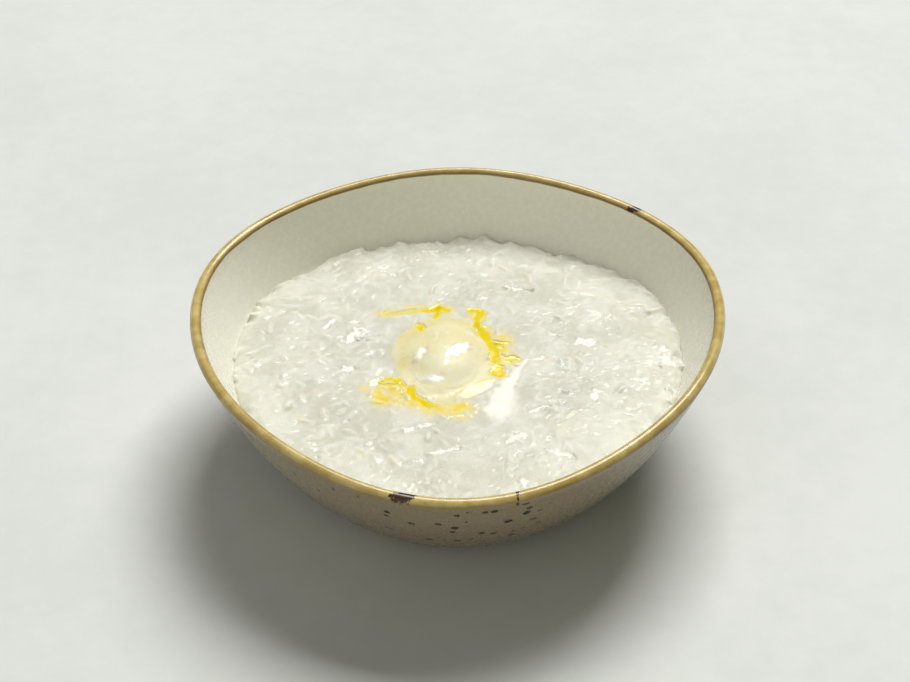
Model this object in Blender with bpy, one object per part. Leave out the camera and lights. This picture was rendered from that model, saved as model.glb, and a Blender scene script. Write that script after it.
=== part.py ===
"""Bowl of rice porridge with a pat of melting butter. Metres, +Z up.

The bowl is three-cornered stoneware: its wall starts round at the foot and opens into a soft
triangle, with one corner at the front, -Y. The porridge fills it to about 23 mm below the rim.
The butter lies in a shallow well in the porridge, with melted butter standing round it.

The origin is on the table, under the middle of the bowl's rim. AXIS_Y shifts everything a little,
because the front corner reaches further out than the back side does.
"""

import math
import random

import bmesh
import bpy
import numpy as np
from mathutils import Vector
from mathutils.geometry import delaunay_2d_cdt

MM = 0.001
GAP = 0.35 * MM  # left free between pieces that touch

# Bowl: driving dimensions
BOWL_HEIGHT = 57.0 * MM
RIM_RADIUS = 93.4 * MM  # mean radius of the rim's outer edge
BELLY_RADIUS = 50.0 * MM  # where the belly starts, just above the foot ring
BELLY_HEIGHT = 1.6 * MM
FOOT_RADIUS = 48.6 * MM
WALL = 4.0 * MM  # wall thickness at the rim
FLOOR_TOP = 6.2 * MM  # height of the inside floor above the table
FOOT_RECESS = 1.8 * MM  # how far the underside stands off the table
FOOT_WIDTH = 4.5 * MM
FOOT_BEVEL = 0.8 * MM
CORNER_SWELL = 0.0299  # share by which the rim's three corners stand out
SIDE_FLATTEN = 0.0053  # second harmonic, which tightens the corners
ROUND_FOOT = 0.6  # share of the corners that is lost on the way down to the foot
RIM_DIP = 1.78 * MM  # how far the rim sinks at each corner and lifts between them
OUTER_CURVE = 0.53  # belly of the outside: radius grows as height to this power
INNER_CURVE = 0.195  # the same for the inside, which has a flat floor
BOWL_SEGMENTS = 96
OUTER_ROWS = 8
INNER_ROWS = 10
LIP_ROWS = 4
AXIS_Y = CORNER_SWELL * RIM_RADIUS

# Porridge
EDGE_LEVEL = 34.4 * MM  # height near the wall
CROWN = 1.6 * MM  # how much higher the middle stands
EDGE_ROLL = 1.6 * MM  # drop of the rounded edge
EDGE_ROLL_WIDTH = 4.0 * MM
SIDE_GAP = 0.28 * MM  # left free at the wall, sideways
UNDER_GAP = 0.42 * MM  # left free at the wall, upwards
SWELL = 0.55 * MM  # slow unevenness of the surface
PORRIDGE_SEGMENTS = 120

# Rice grains that show in the surface, as bumps of true size
GRAIN_LENGTH = 8.2 * MM
GRAIN_WIDTH = 3.2 * MM
GRAIN_HEIGHT = 1.25 * MM
GRAIN_TRIES = 16000
MOST_GRAINS = 390
SEED = 7

# Butter and melted butter, measured from the middle of the bowl
BUTTER_X = -3.6 * MM
BUTTER_Y = 2.1 * MM
BUTTER_HALF_WIDTH = 14.5 * MM
BUTTER_HALF_LENGTH = 20.0 * MM
BUTTER_PROUD = 7.5 * MM  # height above the porridge round it
WELL_DEPTH = 2.0 * MM
WELL_SLOPE = 0.9 * MM  # width of the well's sloping side
POOL_BELOW = 0.4 * MM  # melted butter stands this far below the porridge
LEAST_POOL = 0.8 * MM
WELL_SEGMENTS = 72
BUTTER_SEGMENTS = 36
BUTTER_ROWS = 9

# Each pool of melted butter against the butter: where it is widest, its reach round, its widest
POOLS = {
    "melted_butter_right": (math.radians(10), math.radians(56), 6.0 * MM),
    "melted_butter_front": (math.radians(229), math.radians(47), 8.2 * MM),
}

# The puddle of melted butter that lies apart, behind the butter
PUDDLE_X = -16.8 * MM
PUDDLE_Y = 28.2 * MM
PUDDLE_TURN = math.radians(7)
PUDDLE_HALF_LENGTH = 10.8 * MM
PUDDLE_HALF_WIDTH = 3.1 * MM
PUDDLE_SEGMENTS = 32


def clear_scene():
    for obj in list(bpy.data.objects):
        bpy.data.objects.remove(obj)


def glazed_material(name, colour, roughness, metallic=0.0):
    material = bpy.data.materials.new(name)
    material.use_nodes = True
    shader = material.node_tree.nodes["Principled BSDF"]
    shader.inputs["Base Color"].default_value = (*colour, 1.0)
    shader.inputs["Roughness"].default_value = roughness
    shader.inputs["Metallic"].default_value = metallic
    return material


def object_from(bm, name, material, smooth_degrees=None):
    """Turns a finished bmesh into the named object of one sub-part."""
    bmesh.ops.recalc_face_normals(bm, faces=bm.faces)
    mesh = bpy.data.meshes.new(name)
    bm.to_mesh(mesh)
    bm.free()
    mesh.materials.append(material)
    if smooth_degrees is not None:
        mesh.shade_smooth()
        mesh.set_sharp_from_angle(angle=math.radians(smooth_degrees))
    obj = bpy.data.objects.new(name, mesh)
    bpy.context.scene.collection.objects.link(obj)
    return obj


# ---------------------------------------------------------------- shape of the bowl


def corner_phase(angle):
    """Zero at each of the three corners, one of which points to -Y."""
    return 3 * (angle + math.pi / 2)


def plan_factor(angle, openness):
    """Radius of the soft triangle, over its mean. Openness is 0 at the round foot, 1 at the rim."""
    phase = corner_phase(angle)
    swell = CORNER_SWELL * math.cos(phase) + SIDE_FLATTEN * math.cos(2 * phase)
    return 1 + openness * swell


def openness_at(height):
    share = min(1.0, max(0.0, height / BOWL_HEIGHT))
    return 1 - ROUND_FOOT * (1 - share) ** 3


def rim_wave(angle, height):
    """The rim dips at its corners and lifts between them; the wall follows less and less below."""
    share = min(1.0, max(0.0, height / BOWL_HEIGHT))
    return -RIM_DIP * math.cos(corner_phase(angle)) * share**3


def lip_height():
    """Height of the lip's widest line, where its rounding starts."""
    return BOWL_HEIGHT - WALL / 2


def outer_radius(height):
    share = max(0.0, (height - BELLY_HEIGHT) / (lip_height() - BELLY_HEIGHT))
    return BELLY_RADIUS + (RIM_RADIUS - BELLY_RADIUS) * share**OUTER_CURVE


def inner_radius(height):
    share = max(0.0, (height - FLOOR_TOP) / (lip_height() - FLOOR_TOP))
    return (RIM_RADIUS - WALL) * share**INNER_CURVE


def inner_heights():
    """Heights of the inside's rows, from the lip down to the floor, closer where it bends."""
    depth = lip_height() - FLOOR_TOP
    shares = [(1 - i / INNER_ROWS) ** 2.4 for i in range(INNER_ROWS)] + [0.0006]
    return [FLOOR_TOP + depth * share for share in shares]


def bowl_point(radius, height, angle):
    """A point of the bowl, given in its mean profile, moved to the triangle's plan and wave."""
    distance = radius * plan_factor(angle, openness_at(height))
    return Vector(
        (
            distance * math.cos(angle),
            AXIS_Y + distance * math.sin(angle),
            height + rim_wave(angle, height),
        )
    )


def bowl_profile():
    """(radius, height) from the middle of the underside, up the outside and down the inside."""
    ring_inside = FOOT_RADIUS - FOOT_WIDTH
    profile = [
        (ring_inside * 0.55, FOOT_RECESS),
        (ring_inside - FOOT_BEVEL, FOOT_RECESS),
        (ring_inside, 0.0),
        (FOOT_RADIUS - FOOT_BEVEL, 0.0),
        (FOOT_RADIUS, FOOT_BEVEL),
        (BELLY_RADIUS, BELLY_HEIGHT),
    ]
    rise = lip_height() - BELLY_HEIGHT
    for i in range(1, OUTER_ROWS + 1):
        height = BELLY_HEIGHT + rise * (i / OUTER_ROWS) ** 2
        profile.append((outer_radius(height), height))
    lip_radius = WALL / 2
    for i in range(1, LIP_ROWS):
        turn = math.pi * i / LIP_ROWS
        profile.append(
            (
                RIM_RADIUS - lip_radius + lip_radius * math.cos(turn),
                lip_height() + lip_radius * math.sin(turn),
            )
        )
    profile.extend((inner_radius(height), height) for height in inner_heights())
    return profile


def loft(bm, rings, cap_start, cap_end):
    """Joins rings of equal count with quads, and closes both ends with a fan round one point."""
    loops = [[bm.verts.new(point) for point in ring] for ring in rings]
    count = len(loops[0])
    for lower, upper in zip(loops, loops[1:]):
        for i in range(count):
            j = (i + 1) % count
            bm.faces.new((lower[i], lower[j], upper[j], upper[i]))
    for loop, point in ((loops[0], cap_start), (loops[-1], cap_end)):
        if point is None:
            continue
        tip = bm.verts.new(point)
        for i in range(count):
            bm.faces.new((tip, loop[i], loop[(i + 1) % count]))
    return loops


def ring_angles(count):
    return [2 * math.pi * i / count for i in range(count)]


def make_bowl():
    rings = [
        [bowl_point(radius, height, angle) for angle in ring_angles(BOWL_SEGMENTS)]
        for radius, height in bowl_profile()
    ]
    bm = bmesh.new()
    loft(
        bm,
        rings,
        Vector((0, AXIS_Y, FOOT_RECESS)),
        Vector((0, AXIS_Y, FLOOR_TOP)),
    )
    glaze = glazed_material("cream_glaze", (0.74, 0.71, 0.60), 0.25)
    return object_from(bm, "bowl", glaze, smooth_degrees=35)


# ---------------------------------------------------------------- butter and its well


def butter_edge(angle):
    """Distance from the butter's middle to its edge: an oval, softly uneven."""
    oval = 1 / math.hypot(
        math.cos(angle) / BUTTER_HALF_WIDTH, math.sin(angle) / BUTTER_HALF_LENGTH
    )
    return oval * (1 + 0.035 * math.sin(3 * angle + 0.6) + 0.02 * math.sin(5 * angle))


def pool_width(angle, pool):
    """Width of one pool at this angle round the butter, 0 away from it."""
    middle, reach, widest = POOLS[pool]
    away = math.remainder(angle - middle, 2 * math.pi) / reach
    if abs(away) >= 1:
        return 0.0
    ragged = 1 + 0.14 * math.sin(7 * angle) + 0.08 * math.sin(13 * angle + 1)
    return widest * math.cos(away * math.pi / 2) ** 0.6 * ragged


def well_edge(angle):
    """Where the well's flat floor ends: clear of the butter, and of the widest pool close by."""
    step = 2 * math.pi / WELL_SEGMENTS
    near = [angle - step, angle, angle + step]
    wide = max(pool_width(a, pool) for a in near for pool in POOLS)
    if wide <= LEAST_POOL:
        return butter_edge(angle) + GAP
    return butter_edge(angle) + 2 * GAP + wide


def puddle_edge(angle):
    """Distance from the puddle's middle to its ragged edge, in the puddle's own direction."""
    oval = 1 / math.hypot(
        math.cos(angle) / PUDDLE_HALF_LENGTH, math.sin(angle) / PUDDLE_HALF_WIDTH
    )
    return oval * (1 + 0.10 * math.sin(5 * angle + 0.5) + 0.06 * math.sin(8 * angle))


def puddle_point(extra, angle):
    """(x, y) from the bowl's axis, that far outside the puddle's edge."""
    distance = puddle_edge(angle) + extra
    turned = angle + PUDDLE_TURN
    return PUDDLE_X + distance * math.cos(turned), PUDDLE_Y + distance * math.sin(turned)


def round_butter(distance, angle, height):
    return Vector(
        (
            BUTTER_X + distance * math.cos(angle),
            AXIS_Y + BUTTER_Y + distance * math.sin(angle),
            height,
        )
    )


def porridge_level_at_butter():
    return EDGE_LEVEL + CROWN


def well_floor():
    return porridge_level_at_butter() - WELL_DEPTH


def make_butter():
    """A soft dome with steep melted sides and a flat underside in the well."""
    base = well_floor() + GAP
    height = WELL_DEPTH - GAP + BUTTER_PROUD
    rings = []
    for row in range(BUTTER_ROWS):
        share = row / (BUTTER_ROWS - 1)
        turn = share * math.radians(84)
        spread = math.cos(turn) ** 0.62
        rise = math.sin(turn)
        ring = []
        for angle in ring_angles(BUTTER_SEGMENTS):
            dent = 1 + rise * (0.02 * math.sin(2 * angle + 0.9) - 0.02 * math.cos(3 * angle))
            ring.append(
                round_butter(butter_edge(angle) * spread, angle, base + height * rise * dent)
            )
        rings.append(ring)
    bm = bmesh.new()
    loft(
        bm,
        rings,
        round_butter(0, 0, base),
        round_butter(0, 0, base + height),
    )
    fat = glazed_material("butter", (0.87, 0.80, 0.52), 0.3)
    return object_from(bm, "butter", fat, smooth_degrees=50)


def make_melted_butter(name):
    """One crescent of melted butter, standing in the well between the butter and the porridge."""
    middle = POOLS[name][0]
    start = WELL_SEGMENTS * (middle / (2 * math.pi) - 0.5)
    angles = [
        2 * math.pi * (math.ceil(start) + i) / WELL_SEGMENTS for i in range(WELL_SEGMENTS)
    ]
    angles = [angle for angle in angles if pool_width(angle, name) > LEAST_POOL]
    bottom = well_floor() + GAP
    top = porridge_level_at_butter() - POOL_BELOW
    bulge = 0.25 * MM
    bm = bmesh.new()
    sections = []
    for angle in angles:
        inner = butter_edge(angle) + GAP
        outer = inner + pool_width(angle, name)
        middle_line = (inner + outer) / 2
        section = [
            (inner, bottom),
            (outer, bottom),
            (outer, top),
            (middle_line, top + bulge),
            (inner, top),
        ]
        sections.append([bm.verts.new(round_butter(r, angle, z)) for r, z in section])
    count = len(sections[0])
    for here, there in zip(sections, sections[1:]):
        for i in range(count):
            j = (i + 1) % count
            bm.faces.new((here[i], here[j], there[j], there[i]))
    bm.faces.new(sections[0])
    bm.faces.new(reversed(sections[-1]))
    oil = glazed_material("melted_butter", (0.85, 0.62, 0.05), 0.1)
    return object_from(bm, name, oil, smooth_degrees=40)


def make_puddle():
    """The puddle behind the butter: a thin plate with a softly domed top, in its own hollow."""
    bottom = well_floor() + GAP
    top = porridge_level_at_butter() - POOL_BELOW
    angles = ring_angles(PUDDLE_SEGMENTS)
    rings = []
    for height in (bottom, top):
        points = [puddle_point(0, angle) for angle in angles]
        rings.append([Vector((x, AXIS_Y + y, height)) for x, y in points])
    bm = bmesh.new()
    loft(
        bm,
        rings,
        Vector((PUDDLE_X, AXIS_Y + PUDDLE_Y, bottom)),
        Vector((PUDDLE_X, AXIS_Y + PUDDLE_Y, top + 0.25 * MM)),
    )
    oil = glazed_material("melted_butter", (0.85, 0.62, 0.05), 0.1)
    return object_from(bm, "melted_butter_back", oil, smooth_degrees=40)


# ---------------------------------------------------------------- porridge


def side_point(radius, height, angle):
    """A point of the porridge's side, clear of the bowl's inside at this radius and height."""
    return bowl_point(radius - SIDE_GAP, height + UNDER_GAP, angle)


def edge_height():
    return EDGE_LEVEL - EDGE_ROLL


def edge_distance(angle):
    """The porridge's uneven outline: grain-sized bays and lumps just inside the wall."""
    lumps = (
        0.5 * math.sin(23 * angle + 0.4)
        + 0.4 * math.sin(31 * angle + 2.0)
        + 0.3 * math.sin(11 * angle)
    )
    bay = (0.4 + lumps) * 0.5 * MM
    height = edge_height() - UNDER_GAP - 0.3 * MM
    wall = inner_radius(height) * plan_factor(angle, openness_at(height))
    return wall - SIDE_GAP - 0.15 * MM - max(0.0, bay)


def surface_height(x, y):
    """Height of the porridge's surface without its grains. x and y are from the bowl's axis."""
    angle = math.atan2(y, x)
    distance = math.hypot(x, y)
    edge = edge_distance(angle)
    share = min(1.0, distance / edge)
    inside = max(0.0, 1 - (edge - distance) / EDGE_ROLL_WIDTH)
    near_butter = math.hypot(
        (x - BUTTER_X) / (BUTTER_HALF_WIDTH * 1.7), (y - BUTTER_Y) / (BUTTER_HALF_LENGTH * 1.7)
    )
    uneven = SWELL * (
        math.sin(x / (9 * MM) + 0.7) * math.cos(y / (11 * MM) - 0.4)
        + 0.7 * math.sin((x + y) / (6 * MM))
    )
    calm = min(1.0, max(0.0, near_butter - 0.6))
    return EDGE_LEVEL + CROWN * (1 - share**4) - EDGE_ROLL * inside**2 + uneven * calm


def grain_circles(x, y, turn, length, width):
    """Three circles that cover a grain's footprint, for keeping grains apart."""
    reach = (length - width) / 2
    along = np.array([-reach, 0.0, reach])
    return np.stack([x + along * math.cos(turn), y + along * math.sin(turn)], axis=1)


def place_grains():
    """Scatters grains evenly over the surface, none on another and none in the well."""
    draw = random.Random(SEED)
    taken = np.zeros((0, 2))
    grains = []
    reach = RIM_RADIUS
    for _ in range(GRAIN_TRIES):
        if len(grains) == MOST_GRAINS:
            break
        x, y = draw.uniform(-reach, reach), draw.uniform(-reach, reach)
        turn = draw.uniform(0, math.pi)
        length = GRAIN_LENGTH * draw.uniform(0.85, 1.15)
        width = GRAIN_WIDTH * draw.uniform(0.9, 1.1)
        circles = grain_circles(x, y, turn, length, width)
        edge = edge_distance(math.atan2(y, x))
        if np.hypot(circles[:, 0], circles[:, 1]).max() + width / 2 > edge - 0.6 * MM:
            continue
        from_butter = circles - [BUTTER_X, BUTTER_Y]
        clear_of_well = all(
            math.hypot(dx, dy) > well_edge(math.atan2(dy, dx)) + WELL_SLOPE + width / 2
            for dx, dy in from_butter
        )
        if not clear_of_well:
            continue
        from_puddle = circles - [PUDDLE_X, PUDDLE_Y]
        clear_of_puddle = all(
            math.hypot(dx, dy)
            > puddle_edge(math.atan2(dy, dx) - PUDDLE_TURN) + GAP + WELL_SLOPE + width / 2
            for dx, dy in from_puddle
        )
        if not clear_of_puddle:
            continue
        gaps = np.linalg.norm(circles[:, None] - taken[None], axis=2)
        if gaps.size and gaps.min() < width * 1.04:
            continue
        taken = np.concatenate([taken, circles])
        grains.append((x, y, turn, length, width, draw.uniform(0.6, 1.2)))
    return grains


def grain_points(x, y, turn, length, width, stand):
    """Eight points of one grain: six round its foot and two on its back, with their heights."""
    foot = [(-0.5, 0), (-0.25, 0.5), (0.25, 0.5), (0.5, 0), (0.25, -0.5), (-0.25, -0.5)]
    back = [(-0.2, 0), (0.2, 0)]
    cos, sin = math.cos(turn), math.sin(turn)
    points = []
    for along, across in foot + back:
        px = x + along * length * cos - across * width * sin
        py = y + along * length * sin + across * width * cos
        lift = GRAIN_HEIGHT * stand if (along, across) in back else -0.25 * MM
        points.append((px, py, surface_height(px, py) + lift))
    return points


def porridge_top_points():
    """Points and closed loops: the outline first, then the well, the puddle's hollow, grains."""
    points = []
    for angle in ring_angles(PORRIDGE_SEGMENTS):
        edge = edge_distance(angle)
        x, y = edge * math.cos(angle), edge * math.sin(angle)
        points.append((x, y, surface_height(x, y)))
    loops = [(0, PORRIDGE_SEGMENTS)]
    brim = porridge_level_at_butter()
    for extra, height in ((0.0, well_floor()), (WELL_SLOPE, brim)):
        start = len(points)
        for angle in ring_angles(WELL_SEGMENTS):
            distance = well_edge(angle) + extra
            x = BUTTER_X + distance * math.cos(angle)
            y = BUTTER_Y + distance * math.sin(angle)
            points.append((x, y, height))
        loops.append((start, WELL_SEGMENTS))
    for extra, height in ((GAP, well_floor()), (GAP + WELL_SLOPE, brim)):
        start = len(points)
        for angle in ring_angles(PUDDLE_SEGMENTS):
            x, y = puddle_point(extra, angle)
            points.append((x, y, height))
        loops.append((start, PUDDLE_SEGMENTS))
    for grain in place_grains():
        points.extend(grain_points(*grain))
    return points, loops


def make_porridge():
    """The rice porridge: it follows the bowl inside, and its top carries grain-sized bumps."""
    points, loops = porridge_top_points()
    edges = [
        (start + i, start + (i + 1) % count) for start, count in loops for i in range(count)
    ]
    flat = [Vector((x, y)) for x, y, _ in points]
    outline = list(range(PORRIDGE_SEGMENTS))
    verts, _, faces, sources, _, _ = delaunay_2d_cdt(flat, edges, [outline], 1, 1e-7)
    bm = bmesh.new()
    made = [
        bm.verts.new((v.x, AXIS_Y + v.y, points[source[0]][2]))
        for v, source in zip(verts, sources)
    ]
    for face in faces:
        bm.faces.new([made[i] for i in face])
    place_of = {source[0]: vert for vert, source in zip(made, sources)}
    upper = [place_of[i] for i in range(PORRIDGE_SEGMENTS)]
    heights = [h for h in inner_heights() if h < edge_height() - 2 * MM]
    for height in heights:
        lower = []
        for angle in ring_angles(PORRIDGE_SEGMENTS):
            lower.append(bm.verts.new(side_point(inner_radius(height), height, angle)))
        for i in range(PORRIDGE_SEGMENTS):
            j = (i + 1) % PORRIDGE_SEGMENTS
            bm.faces.new((upper[i], upper[j], lower[j], lower[i]))
        upper = lower
    bm.faces.new(upper)
    rice = glazed_material("rice_porridge", (0.80, 0.79, 0.68), 0.35)
    return object_from(bm, "porridge", rice)


def main():
    clear_scene()
    make_bowl()
    make_porridge()
    make_butter()
    for name in POOLS:
        make_melted_butter(name)
    make_puddle()


main()
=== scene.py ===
# %% [markdown]
# # A bowl of rice porridge with melting butter
# The object is a soft triangular stoneware bowl, filled with rice porridge, with a lump of butter
# melting in the middle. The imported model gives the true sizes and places, as plain solids. The
# cells below swap each of those solids for a piece with the real surface and finish.

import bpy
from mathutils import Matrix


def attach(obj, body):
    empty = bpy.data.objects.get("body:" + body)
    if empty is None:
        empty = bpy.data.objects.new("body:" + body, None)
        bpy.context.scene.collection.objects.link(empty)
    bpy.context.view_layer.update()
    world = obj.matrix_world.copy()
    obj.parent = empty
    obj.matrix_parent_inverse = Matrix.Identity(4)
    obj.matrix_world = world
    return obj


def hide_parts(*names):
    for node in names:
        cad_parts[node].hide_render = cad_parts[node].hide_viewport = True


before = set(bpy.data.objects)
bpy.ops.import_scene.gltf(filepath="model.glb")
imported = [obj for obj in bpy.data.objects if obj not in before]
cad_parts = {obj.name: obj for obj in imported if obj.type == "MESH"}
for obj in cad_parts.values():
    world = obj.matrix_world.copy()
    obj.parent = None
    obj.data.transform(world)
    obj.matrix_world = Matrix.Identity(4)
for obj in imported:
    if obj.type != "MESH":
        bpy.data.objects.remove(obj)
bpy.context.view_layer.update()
print("solids:", sorted(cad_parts))

# %% [markdown]
# Meshes are made with a few small helpers. A new primitive comes selected all over, and the loaded
# solids are selected too, so everything is deselected before each piece. Points are read and
# written as one table, because moving them one at a time is slow.

# %% Helpers for meshes
from math import atan2, cos, hypot, pi, radians, sin

import bpy
import numpy as np
from mathutils import Matrix, Vector

MM = 0.001


def deselect_all():
    if bpy.context.object and bpy.context.object.mode != "OBJECT":
        bpy.ops.object.mode_set(mode="OBJECT")
    bpy.ops.object.select_all(action="DESELECT")


def points_of(piece):
    """The piece's points, as a table with a row of x, y and z for each."""
    table = np.empty(len(piece.data.vertices) * 3)
    piece.data.vertices.foreach_get("co", table)
    return table.reshape(-1, 3)


def move_points(piece, table):
    piece.data.vertices.foreach_set("co", np.ascontiguousarray(table, dtype=float).ravel())
    piece.data.update()


def keep_number(piece, name, values):
    """Stores one number at each point, for the material to read."""
    attribute = piece.data.attributes.new(name, "FLOAT", "POINT")
    attribute.data.foreach_set("value", np.asarray(values, dtype=np.float32))


def apply_place(piece):
    """Puts the piece's place into its points, so that the object sits at the origin."""
    deselect_all()
    piece.select_set(True)
    bpy.context.view_layer.objects.active = piece
    bpy.ops.object.transform_apply(location=True, rotation=True, scale=True)


def edit_mode(kind, action):
    """Enters edit mode, to pick points, edges or faces, with all of them picked or none."""
    bpy.ops.object.mode_set(mode="EDIT")
    bpy.ops.mesh.select_mode(type=kind)
    bpy.ops.mesh.select_all(action=action)


def turn_faces_out():
    """Turns every face outwards, and leaves edit mode."""
    bpy.ops.mesh.select_all(action="SELECT")
    bpy.ops.mesh.normals_make_consistent(inside=False)
    bpy.ops.object.mode_set(mode="OBJECT")


def count_triangles(piece):
    return sum(len(face.vertices) - 2 for face in piece.data.polygons)


deselect_all()
print("mesh helpers ready")

# %% [markdown]
# ## The shape of the bowl
# The real bowl is thrown round and then pressed into a soft triangle while the clay is wet, so its
# foot is nearly round and its rim has three corners that dip a little. The same few sizes describe
# it here as in the solid. A function turns a point of the round pot into a point of the pressed
# one, so each ring can be modelled round and pressed afterwards.

# %% Driving sizes of the bowl
BOWL_HEIGHT = 57.0 * MM
RIM_RADIUS = 93.4 * MM
BELLY_RADIUS = 50.0 * MM
BELLY_HEIGHT = 1.6 * MM
FOOT_RADIUS = 48.6 * MM
WALL = 4.0 * MM
FLOOR_TOP = 6.2 * MM
FOOT_RECESS = 1.8 * MM
FOOT_WIDTH = 4.5 * MM
CORNER_SWELL = 0.0299
SIDE_FLATTEN = 0.0053
ROUND_FOOT = 0.6
RIM_DIP = 1.78 * MM
OUTER_CURVE = 0.53
INNER_CURVE = 0.195
AXIS_Y = CORNER_SWELL * RIM_RADIUS
LIP_HEIGHT = BOWL_HEIGHT - WALL / 2


def openness_at(height):
    share = np.clip(height / BOWL_HEIGHT, 0, 1)
    return 1 - ROUND_FOOT * (1 - share) ** 3


def plan_factor(angle, openness):
    phase = 3 * (angle + pi / 2)
    return 1 + openness * (CORNER_SWELL * np.cos(phase) + SIDE_FLATTEN * np.cos(2 * phase))


def rim_wave(angle, height):
    share = np.clip(height / BOWL_HEIGHT, 0, 1)
    return -RIM_DIP * np.cos(3 * (angle + pi / 2)) * share**3


def outer_radius(height):
    share = np.maximum(0, (height - BELLY_HEIGHT) / (LIP_HEIGHT - BELLY_HEIGHT))
    return BELLY_RADIUS + (RIM_RADIUS - BELLY_RADIUS) * share**OUTER_CURVE


def inner_radius(height):
    share = np.maximum(0, (height - FLOOR_TOP) / (LIP_HEIGHT - FLOOR_TOP))
    return (RIM_RADIUS - WALL) * share**INNER_CURVE


def press_round_pot(table):
    """Presses points of the round pot into the soft triangle with its wavy rim."""
    angle = np.arctan2(table[:, 1], table[:, 0])
    factor = plan_factor(angle, openness_at(table[:, 2]))
    wave = rim_wave(angle, table[:, 2])
    return np.stack(
        [table[:, 0] * factor, table[:, 1] * factor + AXIS_Y, table[:, 2] + wave], axis=1
    )


def wall_distance(angle, height):
    """How far the inside of the wall is from the bowl's axis."""
    return inner_radius(height) * plan_factor(angle, openness_at(height))


print("rim from", round(wall_distance(0.0, LIP_HEIGHT) * 1000, 1), "mm inside, at the sides")

# %% [markdown]
# ## The profile
# A potter reads a bowl as one line, from the middle of the foot over the lip to the middle of the
# inside. Here the line is a list of stations, each a radius and a height. They lie closer together
# where the line bends fast, at the foot and the lip, because that is where facets would show.

# %% Stations of the profile
OUTER_ROWS = 26
INNER_ROWS = 26
LIP_ROWS = 12

ring_inside = FOOT_RADIUS - FOOT_WIDTH
stations = [
    (ring_inside * 0.35, FOOT_RECESS),
    (ring_inside * 0.8, FOOT_RECESS),
    (ring_inside - 1.2 * MM, FOOT_RECESS),
    (ring_inside - 0.5 * MM, FOOT_RECESS * 0.82),
    (ring_inside, FOOT_RECESS * 0.35),
    (ring_inside + 0.5 * MM, 0.05 * MM),
    (ring_inside + 0.9 * MM, 0.0),
    (FOOT_RADIUS - 1.0 * MM, 0.0),
    (FOOT_RADIUS - 0.5 * MM, 0.06 * MM),
    (FOOT_RADIUS - 0.1 * MM, 0.4 * MM),
    (FOOT_RADIUS + 0.1 * MM, 0.9 * MM),
    (FOOT_RADIUS + 0.5 * MM, 1.35 * MM),
    (BELLY_RADIUS, BELLY_HEIGHT),
]
for i in range(1, OUTER_ROWS + 1):
    height = BELLY_HEIGHT + (LIP_HEIGHT - BELLY_HEIGHT) * (i / OUTER_ROWS) ** 1.9
    stations.append((float(outer_radius(height)), height))
lip_radius = WALL / 2
for i in range(1, LIP_ROWS):
    turn = pi * i / LIP_ROWS
    stations.append(
        (RIM_RADIUS - lip_radius + lip_radius * cos(turn), LIP_HEIGHT + lip_radius * sin(turn))
    )
for i in range(INNER_ROWS):
    height = FLOOR_TOP + (LIP_HEIGHT - FLOOR_TOP) * (1 - i / INNER_ROWS) ** 2.2
    stations.append((float(inner_radius(height)), height))
stations.append((14 * MM, FLOOR_TOP))
print(len(stations), "stations")

# %% [markdown]
# ## The bowl's mesh
# It could be a profile turned by Spin or the Screw modifier, but both leave doubled points at the
# seam. Growing it ring by ring, as clay is pulled up on a wheel, gives one clean skin: a circle is
# added at the foot, and each extrude moves the new ring to the next station and resizes it. The
# two open ends are then filled, and the round pot is pressed into its triangle.

# %% Grow the bowl from its foot
SEGMENTS = 216
deselect_all()
bpy.ops.mesh.primitive_circle_add(
    vertices=SEGMENTS, radius=stations[0][0], location=(0, 0, stations[0][1]), fill_type="NOTHING"
)
bowl = bpy.context.object
bowl.name = "glazed_bowl"
apply_place(bowl)
edit_mode("VERT", "SELECT")
bpy.ops.mesh.edge_face_add()
bpy.ops.mesh.select_all(action="SELECT")
for (radius, height), (next_radius, next_height) in zip(stations, stations[1:]):
    bpy.ops.mesh.extrude_edges_move(
        TRANSFORM_OT_translate={"value": (0, 0, next_height - height)}
    )
    share = next_radius / radius
    bpy.ops.transform.resize(value=(share, share, 1), center_override=(0, 0, next_height))
bpy.ops.mesh.edge_face_add()
turn_faces_out()
print("bowl:", len(bowl.data.vertices), "points,", count_triangles(bowl), "triangles")

# %% [markdown]
# The rim's golden band follows the profile, not the height, because the rim dips at its corners. So
# each point keeps how far it is from the top of the lip, in mm along the profile: negative outside,
# positive inside. The material reads this number.

# %% Measure along the profile, then press the pot
along = [0.0]
for (r0, z0), (r1, z1) in zip(stations, stations[1:]):
    along.append(along[-1] + hypot(r1 - r0, z1 - z0))
lip_top = max(range(len(stations)), key=lambda i: stations[i][1])
along = np.array(along) - along[lip_top]
round_points = points_of(bowl)
ring_of_point = np.arange(len(round_points)) // SEGMENTS
from_lip = along[np.minimum(ring_of_point, len(stations) - 1)] / MM
keep_number(bowl, "from_lip", from_lip)
move_points(bowl, press_round_pot(round_points))
bowl.data.shade_smooth()
bowl.data.set_sharp_from_angle(angle=radians(50))
print("from the foot to the lip:", round(-from_lip.min(), 1), "mm")

# %% [markdown]
# ## Helpers for materials
# Materials are built from nodes. Each node is added by its type, its settings are given by name,
# and its inputs take either a number or the output of another node. Most patterns here are noise
# that a ramp turns into a share from 0 to 1, and two colours are then mixed by that share.

# %% Nodes and sockets


def start_material(name):
    material = bpy.data.materials.new(name)
    material.use_nodes = True
    tree = material.node_tree
    return material, tree, tree.nodes["Principled BSDF"]


def plug(tree, socket, value):
    """Gives a socket a plain value, or joins it to another node's output."""
    if isinstance(value, bpy.types.NodeSocket):
        tree.links.new(value, socket)
    else:
        socket.default_value = value


def plug_all(tree, node, **inputs):
    """Plugs the inputs that are given by name, with _ for a space."""
    for name, value in inputs.items():
        plug(tree, node.inputs[name.replace("_", " ")], value)


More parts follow.
